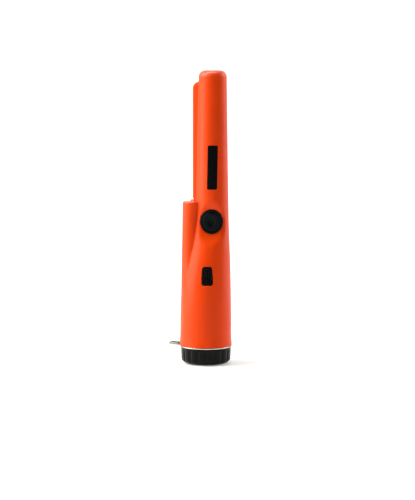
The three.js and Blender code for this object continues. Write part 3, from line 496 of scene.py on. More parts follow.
class Nodes:
    """A material under construction, with its Principled shader and object-space position."""

    def __init__(self, name, colour, roughness, metallic=0.0):
        self.material = bpy.data.materials.new(name)
        self.material.use_nodes = True
        self.tree = self.material.node_tree
        self.shader = self.tree.nodes["Principled BSDF"]
        self.shader.inputs["Base Color"].default_value = (*colour, 1)
        self.shader.inputs["Roughness"].default_value = roughness
        self.shader.inputs["Metallic"].default_value = metallic
        self.colour = colour
        self.roughness = roughness
        self.position = self.add("ShaderNodeTexCoord").outputs["Object"]
        self.bumps = []

    def add(self, kind, **settings):
        node = self.tree.nodes.new(kind)
        for key, value in settings.items():
            setattr(node, key, value)
        return node

    def link(self, source, target):
        self.tree.links.new(source, target)

    def stretched(self, scale):
        """Object position scaled differently along each axis."""
        node = self.add("ShaderNodeMapping")
        node.inputs["Scale"].default_value = scale
        self.link(self.position, node.inputs["Vector"])
        return node.outputs["Vector"]

    def noise(self, size, detail=3.0, vector=None, roughness=0.5):
        """Noise from 0 to 1 whose blobs are about size millimetres across."""
        node = self.add("ShaderNodeTexNoise")
        node.inputs["Scale"].default_value = 1 / (size * MM)
        node.inputs["Detail"].default_value = detail
        node.inputs["Roughness"].default_value = roughness
        self.link(vector or self.position, node.inputs["Vector"])
        return node.outputs["Fac"]

    def ranged(self, value, low, high, to_low, to_high):
        node = self.add("ShaderNodeMapRange")
        for key, number in zip(("From Min", "From Max", "To Min", "To Max"), (low, high, to_low, to_high)):
            node.inputs[key].default_value = number
        self.link(value, node.inputs["Value"])
        return node.outputs["Result"]

    def blend(self, share, first, second):
        """A colour between two, by a share from 0 to 1. Each is a colour or a socket."""
        node = self.add("ShaderNodeMix", data_type="RGBA")
        self.link(share, node.inputs[0])
        for socket, value in ((node.inputs[6], first), (node.inputs[7], second)):
            if isinstance(value, tuple):
                socket.default_value = (*value, 1)
            else:
                self.link(value, socket)
        return node.outputs[2]

    def paint(self, socket):
        self.link(socket, self.shader.inputs["Base Color"])

    def mottle(self, size, amount):
        """Faint cloudy variation of the base colour."""
        darker = tuple(c * (1 - amount) for c in self.colour)
        lighter = tuple(min(1, c * (1 + amount)) for c in self.colour)
        share = self.ranged(self.noise(size), 0.3, 0.7, 0, 1)
        self.paint(self.blend(share, darker, lighter))

    def polish(self, size, spread):
        """Faint variation of the roughness."""
        low, high = self.roughness - spread, self.roughness + spread
        self.link(self.ranged(self.noise(size, 4), 0.3, 0.7, low, high), self.shader.inputs["Roughness"])

    def bump(self, height, depth_mm, strength=1.0):
        """Adds a bump whose height socket is worth depth_mm millimetres at 1."""
        node = self.add("ShaderNodeBump")
        node.inputs["Strength"].default_value = strength
        node.inputs["Distance"].default_value = depth_mm * MM
        self.link(height, node.inputs["Height"])
        if self.bumps:
            self.link(self.bumps[-1], node.inputs["Normal"])
        self.bumps.append(node.outputs["Normal"])
        self.link(node.outputs["Normal"], self.shader.inputs["Normal"])


def moulded(name, colour, roughness, grain=0.25, depth=0.006, cloud=25, amount=0.03, spread=0.04):
    """Moulded plastic: fine spark texture, faint flow clouds and uneven gloss."""
    m = Nodes(name, colour, roughness)
    m.mottle(cloud, amount)
    m.polish(6, spread)
    m.bump(m.noise(grain, 2), depth)
    m.bump(m.noise(14, 2), 0.03)
    return m


def orange_plastic():
    """Satin orange plastic, made glossier over the tip's end and along the hump's top edge.

    Those two places carry the bright lines seen there. The gloss is set to give them.
    """
    m = moulded("orange_abs", (0.64, 0.043, 0.002), 0.34, depth=0.004)
    split = m.add("ShaderNodeSeparateXYZ")
    m.link(m.position, split.inputs["Vector"])
    x, z = split.outputs["X"], split.outputs["Z"]

    def product(a, b):
        times = m.add("ShaderNodeMath", operation="MULTIPLY")
        m.link(a, times.inputs[0])
        m.link(b, times.inputs[1])
        return times.outputs["Value"]

    tip = m.ranged(z, (TIP - 5.5) * MM, (TIP - 3) * MM, 0, 1)
    left = m.ranged(x, -10.5 * MM, -9.5 * MM, 1, 0)
    edge = m.ranged(z, (HUMP_TOP - 1.4) * MM, (HUMP_TOP - 0.6) * MM, 0, 1)
    below = m.ranged(z, (HUMP_TOP + 0.1) * MM, (HUMP_TOP + 0.2) * MM, 1, 0)
    # Gloss raised at the tip's end and along the hump's top edge to give the bright lines there; not wear.
    highlight_gloss = m.add("ShaderNodeMath", operation="MAXIMUM")
    m.link(tip, highlight_gloss.inputs[0])
    m.link(product(left, product(edge, below)), highlight_gloss.inputs[1])
    m.link(m.ranged(highlight_gloss.outputs["Value"], 0, 1, 0.11, 0.55), m.shader.inputs["Specular IOR Level"])
    return m.material


def black_cap_plastic():
    m = moulded("cap_plastic", (0.0022, 0.0022, 0.003), 0.33, grain=0.35, depth=0.008, amount=0.2)
    m.shader.inputs["Specular IOR Level"].default_value = 0.09
    return m.material


def black_rubber():
    m = moulded("button_rubber", (0.0015, 0.003, 0.004), 0.4, grain=0.3, depth=0.006, amount=0.2)
    m.shader.inputs["Specular IOR Level"].default_value = 0.09
    return m.material


def grille_plastic():
    m = moulded("grille_plastic", (0.0015, 0.0015, 0.002), 0.45, grain=0.3, depth=0.008, amount=0.2)
    m.shader.inputs["Specular IOR Level"].default_value = 0.09
    return m.material


def gloss_label():
    m = moulded("label_film", (0.001, 0.0014, 0.0016), 0.25, grain=0.5, depth=0.002, amount=0.15)
    m.shader.inputs["Specular IOR Level"].default_value = 0.08
    return m.material


def bright_steel():
    m = Nodes("bright_steel", (0.55, 0.52, 0.47), 0.24, 1.0)
    m.shader.inputs["Specular Tint"].default_value = (0.2, 0.2, 0.21, 1)
    brushed = m.noise(0.3, 4, m.stretched((1, 1, 0.15)))
    m.link(m.ranged(brushed, 0.3, 0.7, 0.18, 0.32), m.shader.inputs["Roughness"])
    m.paint(m.blend(m.ranged(m.noise(4), 0.35, 0.65, 0, 1), (0.5, 0.465, 0.41), (0.68, 0.64, 0.57)))
    m.bump(brushed, 0.004)
    return m


def ring_steel():
    """The same steel, with painted shade: darker grey over the folded ear and near black on the wall of
    its hole.
    """
    m = bright_steel()

    def distance(x, y):
        flat = m.add("ShaderNodeMapping")
        flat.inputs["Location"].default_value = (-x * MM, -y * MM, 0)
        flat.inputs["Scale"].default_value = (1, 1, 0)
        m.link(m.position, flat.inputs["Vector"])
        length = m.add("ShaderNodeVectorMath", operation="LENGTH")
        m.link(flat.outputs["Vector"], length.inputs[0])
        return length.outputs["Value"]

    polished = m.shader.inputs["Base Color"].links[0].from_socket
    # Painted shade: the ear takes a darker grey than the rest of the ring.
    painted_ear_shade = m.blend(m.noise(1.5), (0.18, 0.175, 0.17), (0.29, 0.285, 0.28))
    ear = m.blend(m.ranged(distance(0, 0), 20.8 * MM, 21.8 * MM, 0, 1), polished, painted_ear_shade)
    hole_x, hole_y = EAR_HOLE_AT * math.cos(EAR_ANGLE), EAR_HOLE_AT * math.sin(EAR_ANGLE)
    from_hole = distance(hole_x, hole_y)
    # Painted shade: near black on the wall of the ear's hole.
    cut = m.ranged(from_hole, (EAR_HOLE_RADIUS + 0.1) * MM, (EAR_HOLE_RADIUS + 0.3) * MM, 1, 0)
    m.paint(m.blend(cut, ear, (0.02, 0.02, 0.022)))
    return m.material


def clear_lens():
    m = Nodes("clear_epoxy", (0.75, 0.78, 0.8), 0.05)
    m.shader.inputs["Transmission Weight"].default_value = 0.9
    m.shader.inputs["IOR"].default_value = 1.5
    m.paint(m.blend(m.ranged(m.noise(0.8), 0.3, 0.7, 0, 1), (0.7, 0.73, 0.76), (0.82, 0.85, 0.87)))
    m.bump(m.noise(0.6, 1), 0.004)
    return m.material


def foam():
    m = Nodes("foam", (0.05, 0.052, 0.056), 0.95)
    cells = m.add("ShaderNodeTexVoronoi")
    cells.inputs["Scale"].default_value = 1 / (0.5 * MM)
    m.link(m.position, cells.inputs["Vector"])
    m.paint(m.blend(cells.outputs["Distance"], (0.015, 0.016, 0.018), (0.09, 0.094, 0.1)))
    m.bump(cells.outputs["Distance"], 0.15)
    return m.material


def board_green():
    """Solder resist with tracks under it."""
    m = Nodes("solder_resist", (0.012, 0.12, 0.04), 0.32)
    track = m.add("ShaderNodeTexBrick")
    track.inputs["Scale"].default_value = 1 / (6 * MM)
    track.inputs["Mortar Size"].default_value = 0.035
    track.inputs["Color1"].default_value = (0, 0, 0, 1)
    track.inputs["Color2"].default_value = (0, 0, 0, 1)
    track.inputs["Mortar"].default_value = (1, 1, 1, 1)
    turn = m.add("ShaderNodeMapping")
    turn.inputs["Rotation"].default_value = (math.pi / 2, 0, 0)
    m.link(m.position, turn.inputs["Vector"])
    m.link(turn.outputs["Vector"], track.inputs["Vector"])
    lit = m.blend(track.outputs["Color"], (0.008, 0.085, 0.03), (0.03, 0.22, 0.08))
    m.paint(lit)
    m.bump(track.outputs["Color"], 0.03)
    m.polish(3, 0.05)
    return m.material


def copper_winding():
    """Enamelled wire laid turn by turn: ridges round the coil, with painted shade darkening the grooves
    between the turns.
    """
    m = Nodes("enamelled_copper", (0.6, 0.2, 0.07), 0.3, 1.0)
    ridge = m.add("ShaderNodeTexWave", wave_type="BANDS", bands_direction="Z")
    ridge.inputs["Scale"].default_value = 1 / (0.25 * MM) / 20 * TAU / 2
    ridge.inputs["Distortion"].default_value = 0.4
    m.link(m.position, ridge.inputs["Vector"])
    # Painted shade: the colour is darker in the grooves between the turns.
    m.paint(m.blend(ridge.outputs["Fac"], (0.28, 0.07, 0.02), (0.7, 0.27, 0.1)))
    m.bump(ridge.outputs["Fac"], 0.06)
    return m.material


def sintered():
    m = Nodes("ferrite_black", (0.035, 0.035, 0.038), 0.6)
    m.mottle(0.6, 0.35)
    m.polish(1.5, 0.1)
    m.bump(m.noise(0.4, 4), 0.02)
    return m.material


def battery_shell():
    """Printed steel can: a dark body with a paler band towards the terminals."""
    m = Nodes("battery_can", (0.02, 0.035, 0.08), 0.3, 0.3)
    split = m.add("ShaderNodeSeparateXYZ")
    m.link(m.position, split.inputs["Vector"])
    band = m.ranged(split.outputs["Z"], 39.5 * MM, 39.8 * MM, 0, 1)
    dark = m.blend(m.noise(8), (0.012, 0.02, 0.05), (0.025, 0.045, 0.1))
    m.paint(m.blend(band, dark, (0.5, 0.32, 0.08)))
    m.polish(5, 0.06)
    m.bump(m.noise(1.2, 3), 0.01)
    return m.material


MATERIALS = {
    "orange_shell": orange_plastic(),
    "black_plastic": grille_plastic(),
    "black_gloss": gloss_label(),
    "black_rubber": black_rubber(),
    "clear_lens": clear_lens(),
    "steel": bright_steel().material,
    "grey_plastic": moulded("grey_abs", (0.25, 0.26, 0.28), 0.55).material,
    "board_green": board_green(),
    "chip_black": moulded("chip_epoxy", (0.014, 0.014, 0.016), 0.5, grain=0.15, amount=0.25).material,
    "ferrite": sintered(),
    "copper": copper_winding(),
    "foam": foam(),
    "red_wire": moulded("red_pvc", (0.42, 0.008, 0.01), 0.35, grain=0.4, amount=0.12).material,
    "black_wire": moulded("black_pvc", (0.012, 0.012, 0.013), 0.35, grain=0.4, amount=0.25).material,
    "battery_shell": battery_shell(),
    "capacitor_blue": moulded("blue_sleeve", (0.012, 0.02, 0.12), 0.3, amount=0.15).material,
    "capacitor_brown": moulded("brown_dip", (0.3, 0.04, 0.01), 0.3, amount=0.15).material,
}


# ---------- housing ----------

def make_housing():
    # The grid has to reach past the flared mouth on every side, or the shell is left open there.
    xs = lines(-21.7, (-12.5, 0.6), (-8.5, 0.45), (21.4, 0.6))
    ys = lines(-21.6, (-3, 0.6), (3, 0.45), (21.6, 0.6))
    zs = lines(MOUTH - 0.6, (27, 0.4), (62, 1.5), (83, 0.55), (96, 1.2), (133, 0.5),
               (218, 1.5), (TIP + 0.6, 0.5))
    points, quads, normals = surface(housing_field, xs, ys, zs)
    obj = new_object("housing_shell", points, quads, normals)
    return place(obj, "housing_body", "orange_shell", MATERIALS["orange_shell"], "housing")


def make_grille():
    """The slotted insert, its face just under the housing's surface."""
    slots = (-2.7, -0.9, 0.9, 2.7)

    def field(x, y, z):
        plate = grille_outline(x, z)
        face = body_field(x, y, z, -0.1)
        plate = both(plate, np.maximum(face, -face - 1.5), 0.25)
        plate = np.maximum(plate, y + 8)
        for offset in slots:
            slot = window(x, z, GRILLE_X + offset, GRILLE_Z, 0.8, 10.5, 0.4)
            plate = without(plate, slot, 0.12)
        return plate

    xs = np.arange(GRILLE_LOW[0] - 0.5, GRILLE_HIGH[0] + 0.5, 0.16)
    ys = np.arange(GRILLE_LOW[1] - 0.5, GRILLE_HIGH[1] + 0.5, 0.22)
    zs = np.arange(GRILLE_LOW[2] - 0.5, GRILLE_HIGH[2] + 0.5, 0.22)
    points, quads, normals = surface(field, xs, ys, zs)
    obj = new_object("grille_insert", points, quads, normals)
    return place(obj, "housing_body", "black_plastic", MATERIALS["black_plastic"], "speaker_grille")


def make_label():
    """A thin blank film that lies on the tip's curve, with rounded corners."""
    width = LABEL_HIGH[0] - LABEL_LOW[0]
    height = LABEL_HIGH[2] - LABEL_LOW[2]
    middle_x = (LABEL_HIGH[0] + LABEL_LOW[0]) / 2
    middle_z = (LABEL_HIGH[2] + LABEL_LOW[2]) / 2
    corner = 0.9
    across, along = 16, 60
    bend = np.linspace(0, math.pi, along + 1)
    heights = middle_z - height / 2 * np.cos(bend)
    layers = []
    for lift, shrink in ((0.02, 0.0), (0.12, 0.0), (0.16, 0.08)):
        rows = []
        for z in heights:
            into = max(0.0, abs(z - middle_z) - (height / 2 - corner))
            half = width / 2 - shrink - corner + math.sqrt(max(0, corner ** 2 - into ** 2))
            x = middle_x + 0.02 * (z - middle_z) + half * np.linspace(-1, 1, across + 1)
            radius = body_radius(z) + lift
            y = -np.sqrt(radius ** 2 - (x - body_middle(z)) ** 2)
            rows.append(np.stack([x, y, np.full_like(x, z)], axis=1))
        layers.append(np.array(rows))
    points = np.concatenate([layer.reshape(-1, 3) for layer in layers])
    per_layer = (across + 1) * (along + 1)
    faces = []

    def at(layer, row, column):
        return layer * per_layer + row * (across + 1) + column

    for row in range(along):
        for column in range(across):
            face = [at(0, row, column), at(0, row, column + 1),
                    at(0, row + 1, column + 1), at(0, row + 1, column)]
            faces.append(face[::-1])
            faces.append([index + 2 * per_layer for index in face])
    rim = [(0, c) for c in range(across)] + [(r, across) for r in range(along)]
    rim += [(along, c) for c in range(across, 0, -1)] + [(r, 0) for r in range(along, 0, -1)]
    for (row_a, col_a), (row_b, col_b) in zip(rim, rim[1:] + rim[:1]):
        for layer in (0, 1):
            faces.append([at(layer, row_a, col_a), at(layer, row_b, col_b),
                          at(layer + 1, row_b, col_b), at(layer + 1, row_a, col_a)])
    obj = new_object("label_film", points, faces)
    return place(obj, "housing_body", "black_gloss", MATERIALS["black_gloss"], "blank_label")


# ---------- button ----------

def make_bezel():
    front, back = BEZEL_LOW[1], BEZEL_HIGH[1]
    inner = BUTTON_RADIUS + 0.22
    skirt = BEZEL_RADIUS - 0.5
    shelf = BUTTON_LOW[1] + 2.1
    path = rounded_path([
        (skirt, back, 0.1), (BEZEL_RADIUS, back, 0.15), (BEZEL_RADIUS, front, 0.55),
        (inner, front, 0.4), (inner, shelf, 0.1), (skirt, shelf, 0.1),
    ], closed=True)
    obj = revolve("bezel_ring", path, "y", (BUTTON_X, 0, BUTTON_Z), 128, closed=True, oval=BUTTON_OVAL)
    return place(obj, "housing_body", "black_rubber", MATERIALS["black_rubber"], "button_bezel")


def make_button():
    face, stem = BUTTON_LOW[1], BUTTON_HIGH[1]
    flange = BUTTON_SEAT - 0.3 - 0.8
    path = rounded_path([
        (0, stem, 0), (2.4, stem, 0.3), (2.4, flange + 0.6, 0.2),
        (BUTTON_FLANGE, flange, 0.1), (BUTTON_FLANGE, flange - 0.6, 0.15),
        (BUTTON_RADIUS, flange - 0.6, 0.1), (BUTTON_RADIUS, face + 0.1, 0.7), (5.6, face, 1.5),
        (3.0, face + 0.15, 0.8), (2.5, face + 0.8, 0.4), (1.2, face + 1.0, 1.0), (0, face + 1.02, 0),
    ])
    obj = revolve("button_pad", path, "y", (BUTTON_X, 0, BUTTON_Z), 128, oval=BUTTON_OVAL)
    return place(obj, "button_body", "black_rubber", MATERIALS["black_rubber"], "power_button")


# ---------- cap, O-ring, lanyard ring ----------

FLUTES = 18
FLUTE_DEPTH = 0.55
FLUTE_HALF_SHARE = 0.27
CAP_FLOOR = 3.0
CAP_FOOT = 19.55
FOOT_ROUND_WIDTH = 7.2
FOOT_ROUND_HEIGHT = 4.6


def make_cap():
    top = CAP_HIGH[0]
    shoulder = RING_LOW[2] - 0.25
    plug_top = CAP_HIGH[2]
    rounding = [(CAP_FOOT - FOOT_ROUND_WIDTH * (1 - math.sin(a)), FOOT_ROUND_HEIGHT * (1 - math.cos(a)), 0)
                for a in np.linspace(0, math.pi / 2, 14)]
    outline = rounded_path([
        (0, 0, 0), (10.6, 0, 0.3), (11.0, 0.25, 0.4), (11.5, 0, 0.3), *rounding,
        (top, shoulder, 0.7), (PLUG_RADIUS, shoulder, 0.3), (PLUG_RADIUS, plug_top, 0.6),
        (PLUG_BORE, plug_top, 0.4), (PLUG_BORE, CAP_FLOOR, 1.0), (0, CAP_FLOOR, 0),
    ])
    dense = [outline[0]]
    for a, b in zip(outline[:-1], outline[1:]):
        long_wall = abs(b[1] - a[1]) > 2 and a[0] > 16
        steps = math.ceil(abs(b[1] - a[1]) / 0.25) if long_wall else 1
        dense += [a + (b - a) * i / steps for i in range(1, steps + 1)]
    profile = np.array(dense)

    def bend(radius, height, angle):
        across = (angle / TAU * FLUTES) % 1.0 - 0.5
        groove = max(0.0, 1 - (across / FLUTE_HALF_SHARE) ** 2)
        groove = groove * groove * (3 - 2 * groove)
        low_fade = np.clip((height - 1.2) / 3.0, 0, 1)
        high_fade = np.clip((shoulder - 1.2 - height) / 0.9, 0, 1)
        grip = (radius > 18) * low_fade * high_fade
        plug = (np.abs(radius - PLUG_RADIUS) < 0.05) * (height > shoulder + 0.5)
        last = THREAD_START + THREAD_TURNS * THREAD_PITCH
        thread = thread_rise(angle, height, THREAD_HEIGHT, root=1.5, crest=0.7,
                             first=THREAD_START, last=last)
        return radius - FLUTE_DEPTH * groove * grip + plug * thread, height

    obj = revolve("cap_shell", profile, "z", (0, 0, 0), 288, bend=bend)
    obj.data.set_sharp_from_angle(angle=math.radians(50))
    return place(obj, "cap_body", "black_plastic", black_cap_plastic(), "battery_cap")


def make_seal():
    middle = (SEAL_LOW[2] + SEAL_HIGH[2]) / 2
    section = (SEAL_HIGH[2] - SEAL_LOW[2]) / 2
    radius = SEAL_HIGH[0] - section
    turn = np.arange(20) * TAU / 20
    path = np.stack([radius + section * np.cos(turn), middle + section * np.sin(turn)], axis=1)
    obj = revolve("o_ring", path, "z", (0, 0, 0), 160, closed=True)
    return place(obj, "seal_body", "black_rubber", MATERIALS["black_rubber"], "cap_o_ring")


def make_ring():
    """Stamped sheet: a ring whose drilled ear is folded back on itself, its edges broken."""
    cos_ear, sin_ear = math.cos(EAR_ANGLE), math.sin(EAR_ANGLE)

    def turned(x, y):
        """Points of the flat outline, turned to where the ear points."""
        return np.stack([x * cos_ear - y * sin_ear, x * sin_ear + y * cos_ear], axis=1)

    def arc(radius, start, end, steps, offset=0.0):
        angle = np.linspace(start, end, steps)
        return turned(offset + radius * np.cos(angle), radius * np.sin(angle))

    tip = arc(EAR_TIP_RADIUS, -EAR_SIDE, EAR_SIDE, 24, EAR_HOLE_AT)
    eye = arc(EAR_HOLE_RADIUS, 0, TAU, 40, EAR_HOLE_AT)[:-1]
    rim = arc(RING_HIGH[0], EAR_BASE, TAU - EAR_BASE, 150)
    ring = [np.concatenate([rim, tip]), arc(RING_BORE, 0, TAU, 150)[:-1], eye]
    crease = turned(np.array([FOLD_START, FOLD_START]), np.array([FOLD_HALF_WIDTH, -FOLD_HALF_WIDTH]))
    fold = [np.concatenate([crease, tip]), eye]
    sheet_top = RING_LOW[2] + SHEET
    layers = ((ring, RING_LOW[2], sheet_top), (fold, sheet_top + FOLD_GAP, RING_HIGH[2]))
    work = bmesh.new()
    for loops, low, high in layers:
        curve = bpy.data.curves.new("ring_outline", "CURVE")
        curve.dimensions = "2D"
        curve.fill_mode = "BOTH"
        curve.extrude = ((high - low) / 2 - RING_EDGE) * MM
        curve.bevel_depth = RING_EDGE * MM
        curve.bevel_resolution = 2
        curve.offset = -RING_EDGE * MM
        for loop in loops:
            spline = curve.splines.new("POLY")
            spline.points.add(len(loop) - 1)
            for point, (x, y) in zip(spline.points, loop):
                point.co = (x * MM, y * MM, 0, 1)
            spline.use_cyclic_u = True
        holder = bpy.data.objects.new("ring_outline", curve)
        bpy.context.scene.collection.objects.link(holder)
        bpy.context.view_layer.update()
        layer = bpy.data.meshes.new_from_object(holder)
        bpy.data.objects.remove(holder)
        for vertex in layer.vertices:
            vertex.co.z += (low + high) / 2 * MM
        work.from_mesh(layer)
    mesh = bpy.data.meshes.new("stamped_ring")
    bmesh.ops.remove_doubles(work, verts=work.verts, dist=2e-6)
    bmesh.ops.recalc_face_normals(work, faces=work.faces)
    work.to_mesh(mesh)
    work.free()
    mesh.shade_smooth()
    mesh.set_sharp_from_angle(angle=math.radians(40))
    obj = bpy.data.objects.new("stamped_ring", mesh)
    bpy.context.scene.collection.objects.link(obj)
    return place(obj, "ring_body", "steel", ring_steel(), "lanyard_ring")


# ---------- lamp ----------

def make_lamp():
    """Clear lens with a flange, and the metal cup."""
    bottom, top = LAMP_LOW[2], LAMP_HIGH[2]
    radius = 1.5
    centre = top - radius
    rise = np.linspace(0, math.pi / 2, 14)
    dome = [(radius * math.cos(a), centre + radius * math.sin(a)) for a in rise]
    flange = bottom + 1.3
    path = np.array([(0, bottom), (1.8, bottom), (1.9, bottom + 0.1), (1.9, flange - 0.1), (1.8, flange),
                     (radius, flange), *dome])
    lens = revolve("lamp_lens", path, "z", (LAMP_X, 0, 0), 64)
    place(lens, "housing_body", "clear_lens", MATERIALS["clear_lens"], "lamp_led")
    cup_top = top - 1.7
    cup_path = rounded_path([
        (0, cup_top - 1.2, 0), (0.9, cup_top - 1.2, 0.1), (1.05, cup_top, 0.05), (0.85, cup_top, 0.05),
        (0.45, cup_top - 0.7, 0.1), (0, cup_top - 0.7, 0),
    ])
    cup = revolve("lamp_cup", cup_path, "z", (LAMP_X, 0, 0), 40)
    place(cup, "housing_body", "steel", MATERIALS["steel"])


# ---------- foam pads ----------

def place_pad(obj, node, body):
    place(obj, body, "foam", MATERIALS["foam"], node)


def make_battery_pad():
    """A die-cut disc that rests flat on the cap's floor and crowns up against the battery."""
    low, high = node_box("battery_pad")
    radius = high[0] - 0.05
    path = rounded_path([
        (0, low[2], 0), (radius - 0.35, low[2], 0.3), (radius, (low[2] + high[2]) / 2, 0.7),
        (radius - 0.5, high[2] - 0.25, 0.5), (radius / 2, high[2] - 0.04, 9), (0, high[2], 0),
    ], steps=8)
    pad = revolve("battery_pad_foam", path, "z", (0, 0, 0), 72)
    place_pad(pad, "battery_pad", "cap_body")


def make_tip_cushion():
    """A short plug between the coil and the tip, pressed at both ends so that its side bulges."""
    low, high = node_box("tip_cushion")
    radius = (high[0] - low[0]) / 2
    middle = (low[2] + high[2]) / 2
    path = rounded_path([
        (0, low[2], 0), (radius - 0.7, low[2], 0.5), (radius, middle, 5),
        (radius - 0.7, high[2] - 0.1, 0.5), (0, high[2], 0),
    ], steps=8)
    pad = revolve("tip_cushion_foam", path, "z", ((low[0] + high[0]) / 2, 0, 0), 64)
    place_pad(pad, "tip_cushion", "housing_body")


def make_buzzer_gasket():
    """A punched ring with rounded faces, squeezed between the buzzer and the housing."""
    low, high = node_box("buzzer_gasket")
    outer = (high[0] - low[0]) / 2
    inner = outer - 1.6
    middle = (outer + inner) / 2
    path = rounded_path([
        (inner, low[1] + 0.15, 0.12), (middle, low[1], 1.0), (outer - 0.05, low[1] + 0.15, 0.12),
        (outer, (low[1] + high[1]) / 2, 0.4), (outer - 0.05, high[1] - 0.15, 0.12), (middle, high[1], 1.0),
        (inner, high[1] - 0.15, 0.12), (inner + 0.06, (low[1] + high[1]) / 2, 0.4),
    ], closed=True)
    centre = ((low[0] + high[0]) / 2, 0, (low[2] + high[2]) / 2)
    pad = revolve("buzzer_gasket_foam", path, "y", centre, 64, closed=True)
    place_pad(pad, "buzzer_gasket", "housing_body")


def make_motor_pad():
    """A strip wrapped round the motor, open on one side, its edges and ends rounded."""
    low, high = node_box("motor_pad")
    outer = (high[1] - low[1]) / 2
    inner = outer - 1.2
    at_x = low[0] + outer
    opening = math.acos((high[0] - at_x) / outer) + 0.09
    section = rounded_path([
        (inner + 0.03, low[2], 0.4), (outer - 0.03, low[2], 0.4), (outer, (low[2] + high[2]) / 2, 30),
        (outer - 0.03, high[2], 0.4), (inner + 0.03, high[2], 0.4), (inner, (low[2] + high[2]) / 2, 30),
    ], closed=True, steps=4)
    middle = np.array(((outer + inner) / 2, (low[2] + high[2]) / 2))
    ends = [(0.0, 0.25), (0.025, 0.72), (0.07, 0.94), (0.13, 1.0)]
    stations = [(opening + lag, size) for lag, size in ends]
    stations += [(angle, 1.0) for angle in np.linspace(opening + 0.13, TAU - opening - 0.13, 40)[1:-1]]
    stations += [(TAU - opening - lag, size) for lag, size in reversed(ends)]
    rows = []
    for angle, size in stations:
        at = middle + (section - middle) * np.array((size, 1 - (1 - size) * 0.15))
        x, y = at_x + at[:, 0] * math.cos(angle), at[:, 0] * math.sin(angle)
        rows.append(np.stack([x, y, at[:, 1]], axis=1))
    count = len(section)
    faces = []
    for row in range(len(rows) - 1):
        for i in range(count):
            a, b = row * count + i, row * count + (i + 1) % count
            faces.append((a, b, b + count, a + count))
    last = (len(rows) - 1) * count
    faces.append(tuple(reversed(range(count))))
    faces.append(tuple(range(last, last + count)))
    pad = new_object("motor_pad_foam", np.concatenate(rows), faces)
    work = bmesh.new()
    work.from_mesh(pad.data)
    bmesh.ops.recalc_face_normals(work, faces=work.faces)
    work.to_mesh(pad.data)
    work.free()
    place_pad(pad, "motor_pad", "housing_body")


make_housing()
make_grille()
make_label()
make_bezel()
make_button()
make_cap()
make_seal()
make_ring()
make_lamp()
make_battery_pad()
make_tip_cushion()
make_buzzer_gasket()
make_motor_pad()

# Every other CAD node keeps its shape and takes its slot's material.
SLOT_OF = {row["node"]: row["material_slot"] for row in frame["record"]["subparts"]}
for name, node in frame["nodes"].items():
    if not node.hide_render:
        node.data.materials.clear()
        node.data.materials.append(MATERIALS[SLOT_OF[name]])


# ---------- stage, lights, camera ----------

# The sweep's own glow rises from the first y to the second, in metres, between the last two strengths.
SWEEP_GLOW = (-0.3, 2.0, 0.2, 0.9)
# The lights aim here.
MIDDLE = (0, 0, 0.12)


def make_floor():
    """A seamless white sweep: flat under the probe, curving up well behind it."""
    reach, curve_at, curve_radius, wall_height = 6.0, 1.5, 1.0, 4.0
    profile = [(-reach, 0.0)]
    for a in np.linspace(0, math.pi / 2, 12):
        profile.append((curve_at + curve_radius * math.sin(a), curve_radius * (1 - math.cos(a))))
    profile.append((curve_at + curve_radius, wall_height))
    points = [(x, y, z) for y, z in profile for x in (-reach, reach)]
    faces = [(2 * i, 2 * i + 1, 2 * i + 3, 2 * i + 2) for i in range(len(profile) - 1)]
    mesh = bpy.data.meshes.new("floor")
    mesh.from_pydata(points, [], faces)
    mesh.shade_smooth()
    floor = bpy.data.objects.new("floor", mesh)
    bpy.context.scene.collection.objects.link(floor)
    white = Nodes("sweep_white", (0.7, 0.7, 0.7), 0.9)
    white.mottle(400, 0.01)
    white.shader.inputs["Specular IOR Level"].default_value = 0.1
    split = white.add("ShaderNodeSeparateXYZ")
    white.link(white.position, split.inputs["Vector"])
    glow = white.ranged(split.outputs["Y"], *SWEEP_GLOW)
    white.shader.inputs["Emission Color"].default_value = (1, 1, 1, 1)
    white.link(glow, white.shader.inputs["Emission Strength"])
    mesh.materials.append(white.material)


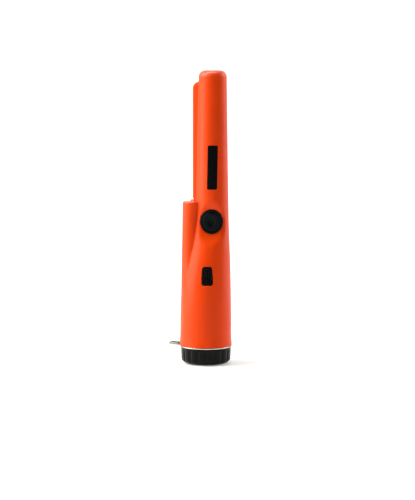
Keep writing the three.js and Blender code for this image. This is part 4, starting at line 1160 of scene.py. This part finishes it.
def area_light(name, place_at, aim_at, width, height, power, colour=(1, 1, 1)):
    data = bpy.data.lights.new(name, "AREA")
    data.shape = "RECTANGLE"
    data.size, data.size_y = width, height
    data.energy = power
    data.color = colour
    light = bpy.data.objects.new(name, data)
    light.location = place_at
    light.rotation_euler = (Vector(aim_at) - Vector(place_at)).to_track_quat("-Z", "Y").to_euler()
    bpy.context.scene.collection.objects.link(light)


def make_lights():
    """A tall softbox on the left, a fainter one right and rear, and a room that is dim at the front."""
    area_light("key_left", (-1.0, -0.12, 0.55), MIDDLE, 1.0, 1.2, 25.5, (0.98, 1.0, 0.88))
    area_light("rim_right", (0.99, 0.26, 0.35), MIDDLE, 0.7, 1.2, 8)
    area_light("top", (-0.22, -0.02, 1.25), MIDDLE, 0.25, 1.0, 14, (1.0, 0.93, 0.75))
    world = bpy.data.worlds.new("studio")
    world.use_nodes = True
    tree = world.node_tree
    direction = tree.nodes.new("ShaderNodeTexCoord")
    split = tree.nodes.new("ShaderNodeSeparateXYZ")
    ramp = tree.nodes.new("ShaderNodeMapRange")
    ramp.interpolation_type = "SMOOTHSTEP"
    for key, number in (("From Min", -0.6), ("From Max", 0.8), ("To Min", 0.06), ("To Max", 0.8)):
        ramp.inputs[key].default_value = number
    tree.links.new(direction.outputs["Generated"], split.inputs["Vector"])
    tree.links.new(split.outputs["Y"], ramp.inputs["Value"])
    background = tree.nodes["Background"]
    background.inputs["Color"].default_value = (1, 1, 1, 1)
    tree.links.new(ramp.outputs["Result"], background.inputs["Strength"])
    bpy.context.scene.world = world


def make_camera():
    data = bpy.data.cameras.new("camera")
    camera = bpy.data.objects.new("camera", data)
    bpy.context.scene.collection.objects.link(camera)
    distance, height = 1.7, 0.262
    camera.location = (0.0, -distance, height)
    aim = Vector((0.0012, 0.0, 0.0905))
    camera.rotation_euler = (aim - camera.location).to_track_quat("-Z", "Y").to_euler()
    data.sensor_fit = "HORIZONTAL"
    data.sensor_width = 36
    data.lens = 187
    data.dof.use_dof = False
    bpy.context.scene.camera = camera


make_floor()
make_lights()
make_camera()
bpy.context.scene.view_settings.view_transform = "Standard"
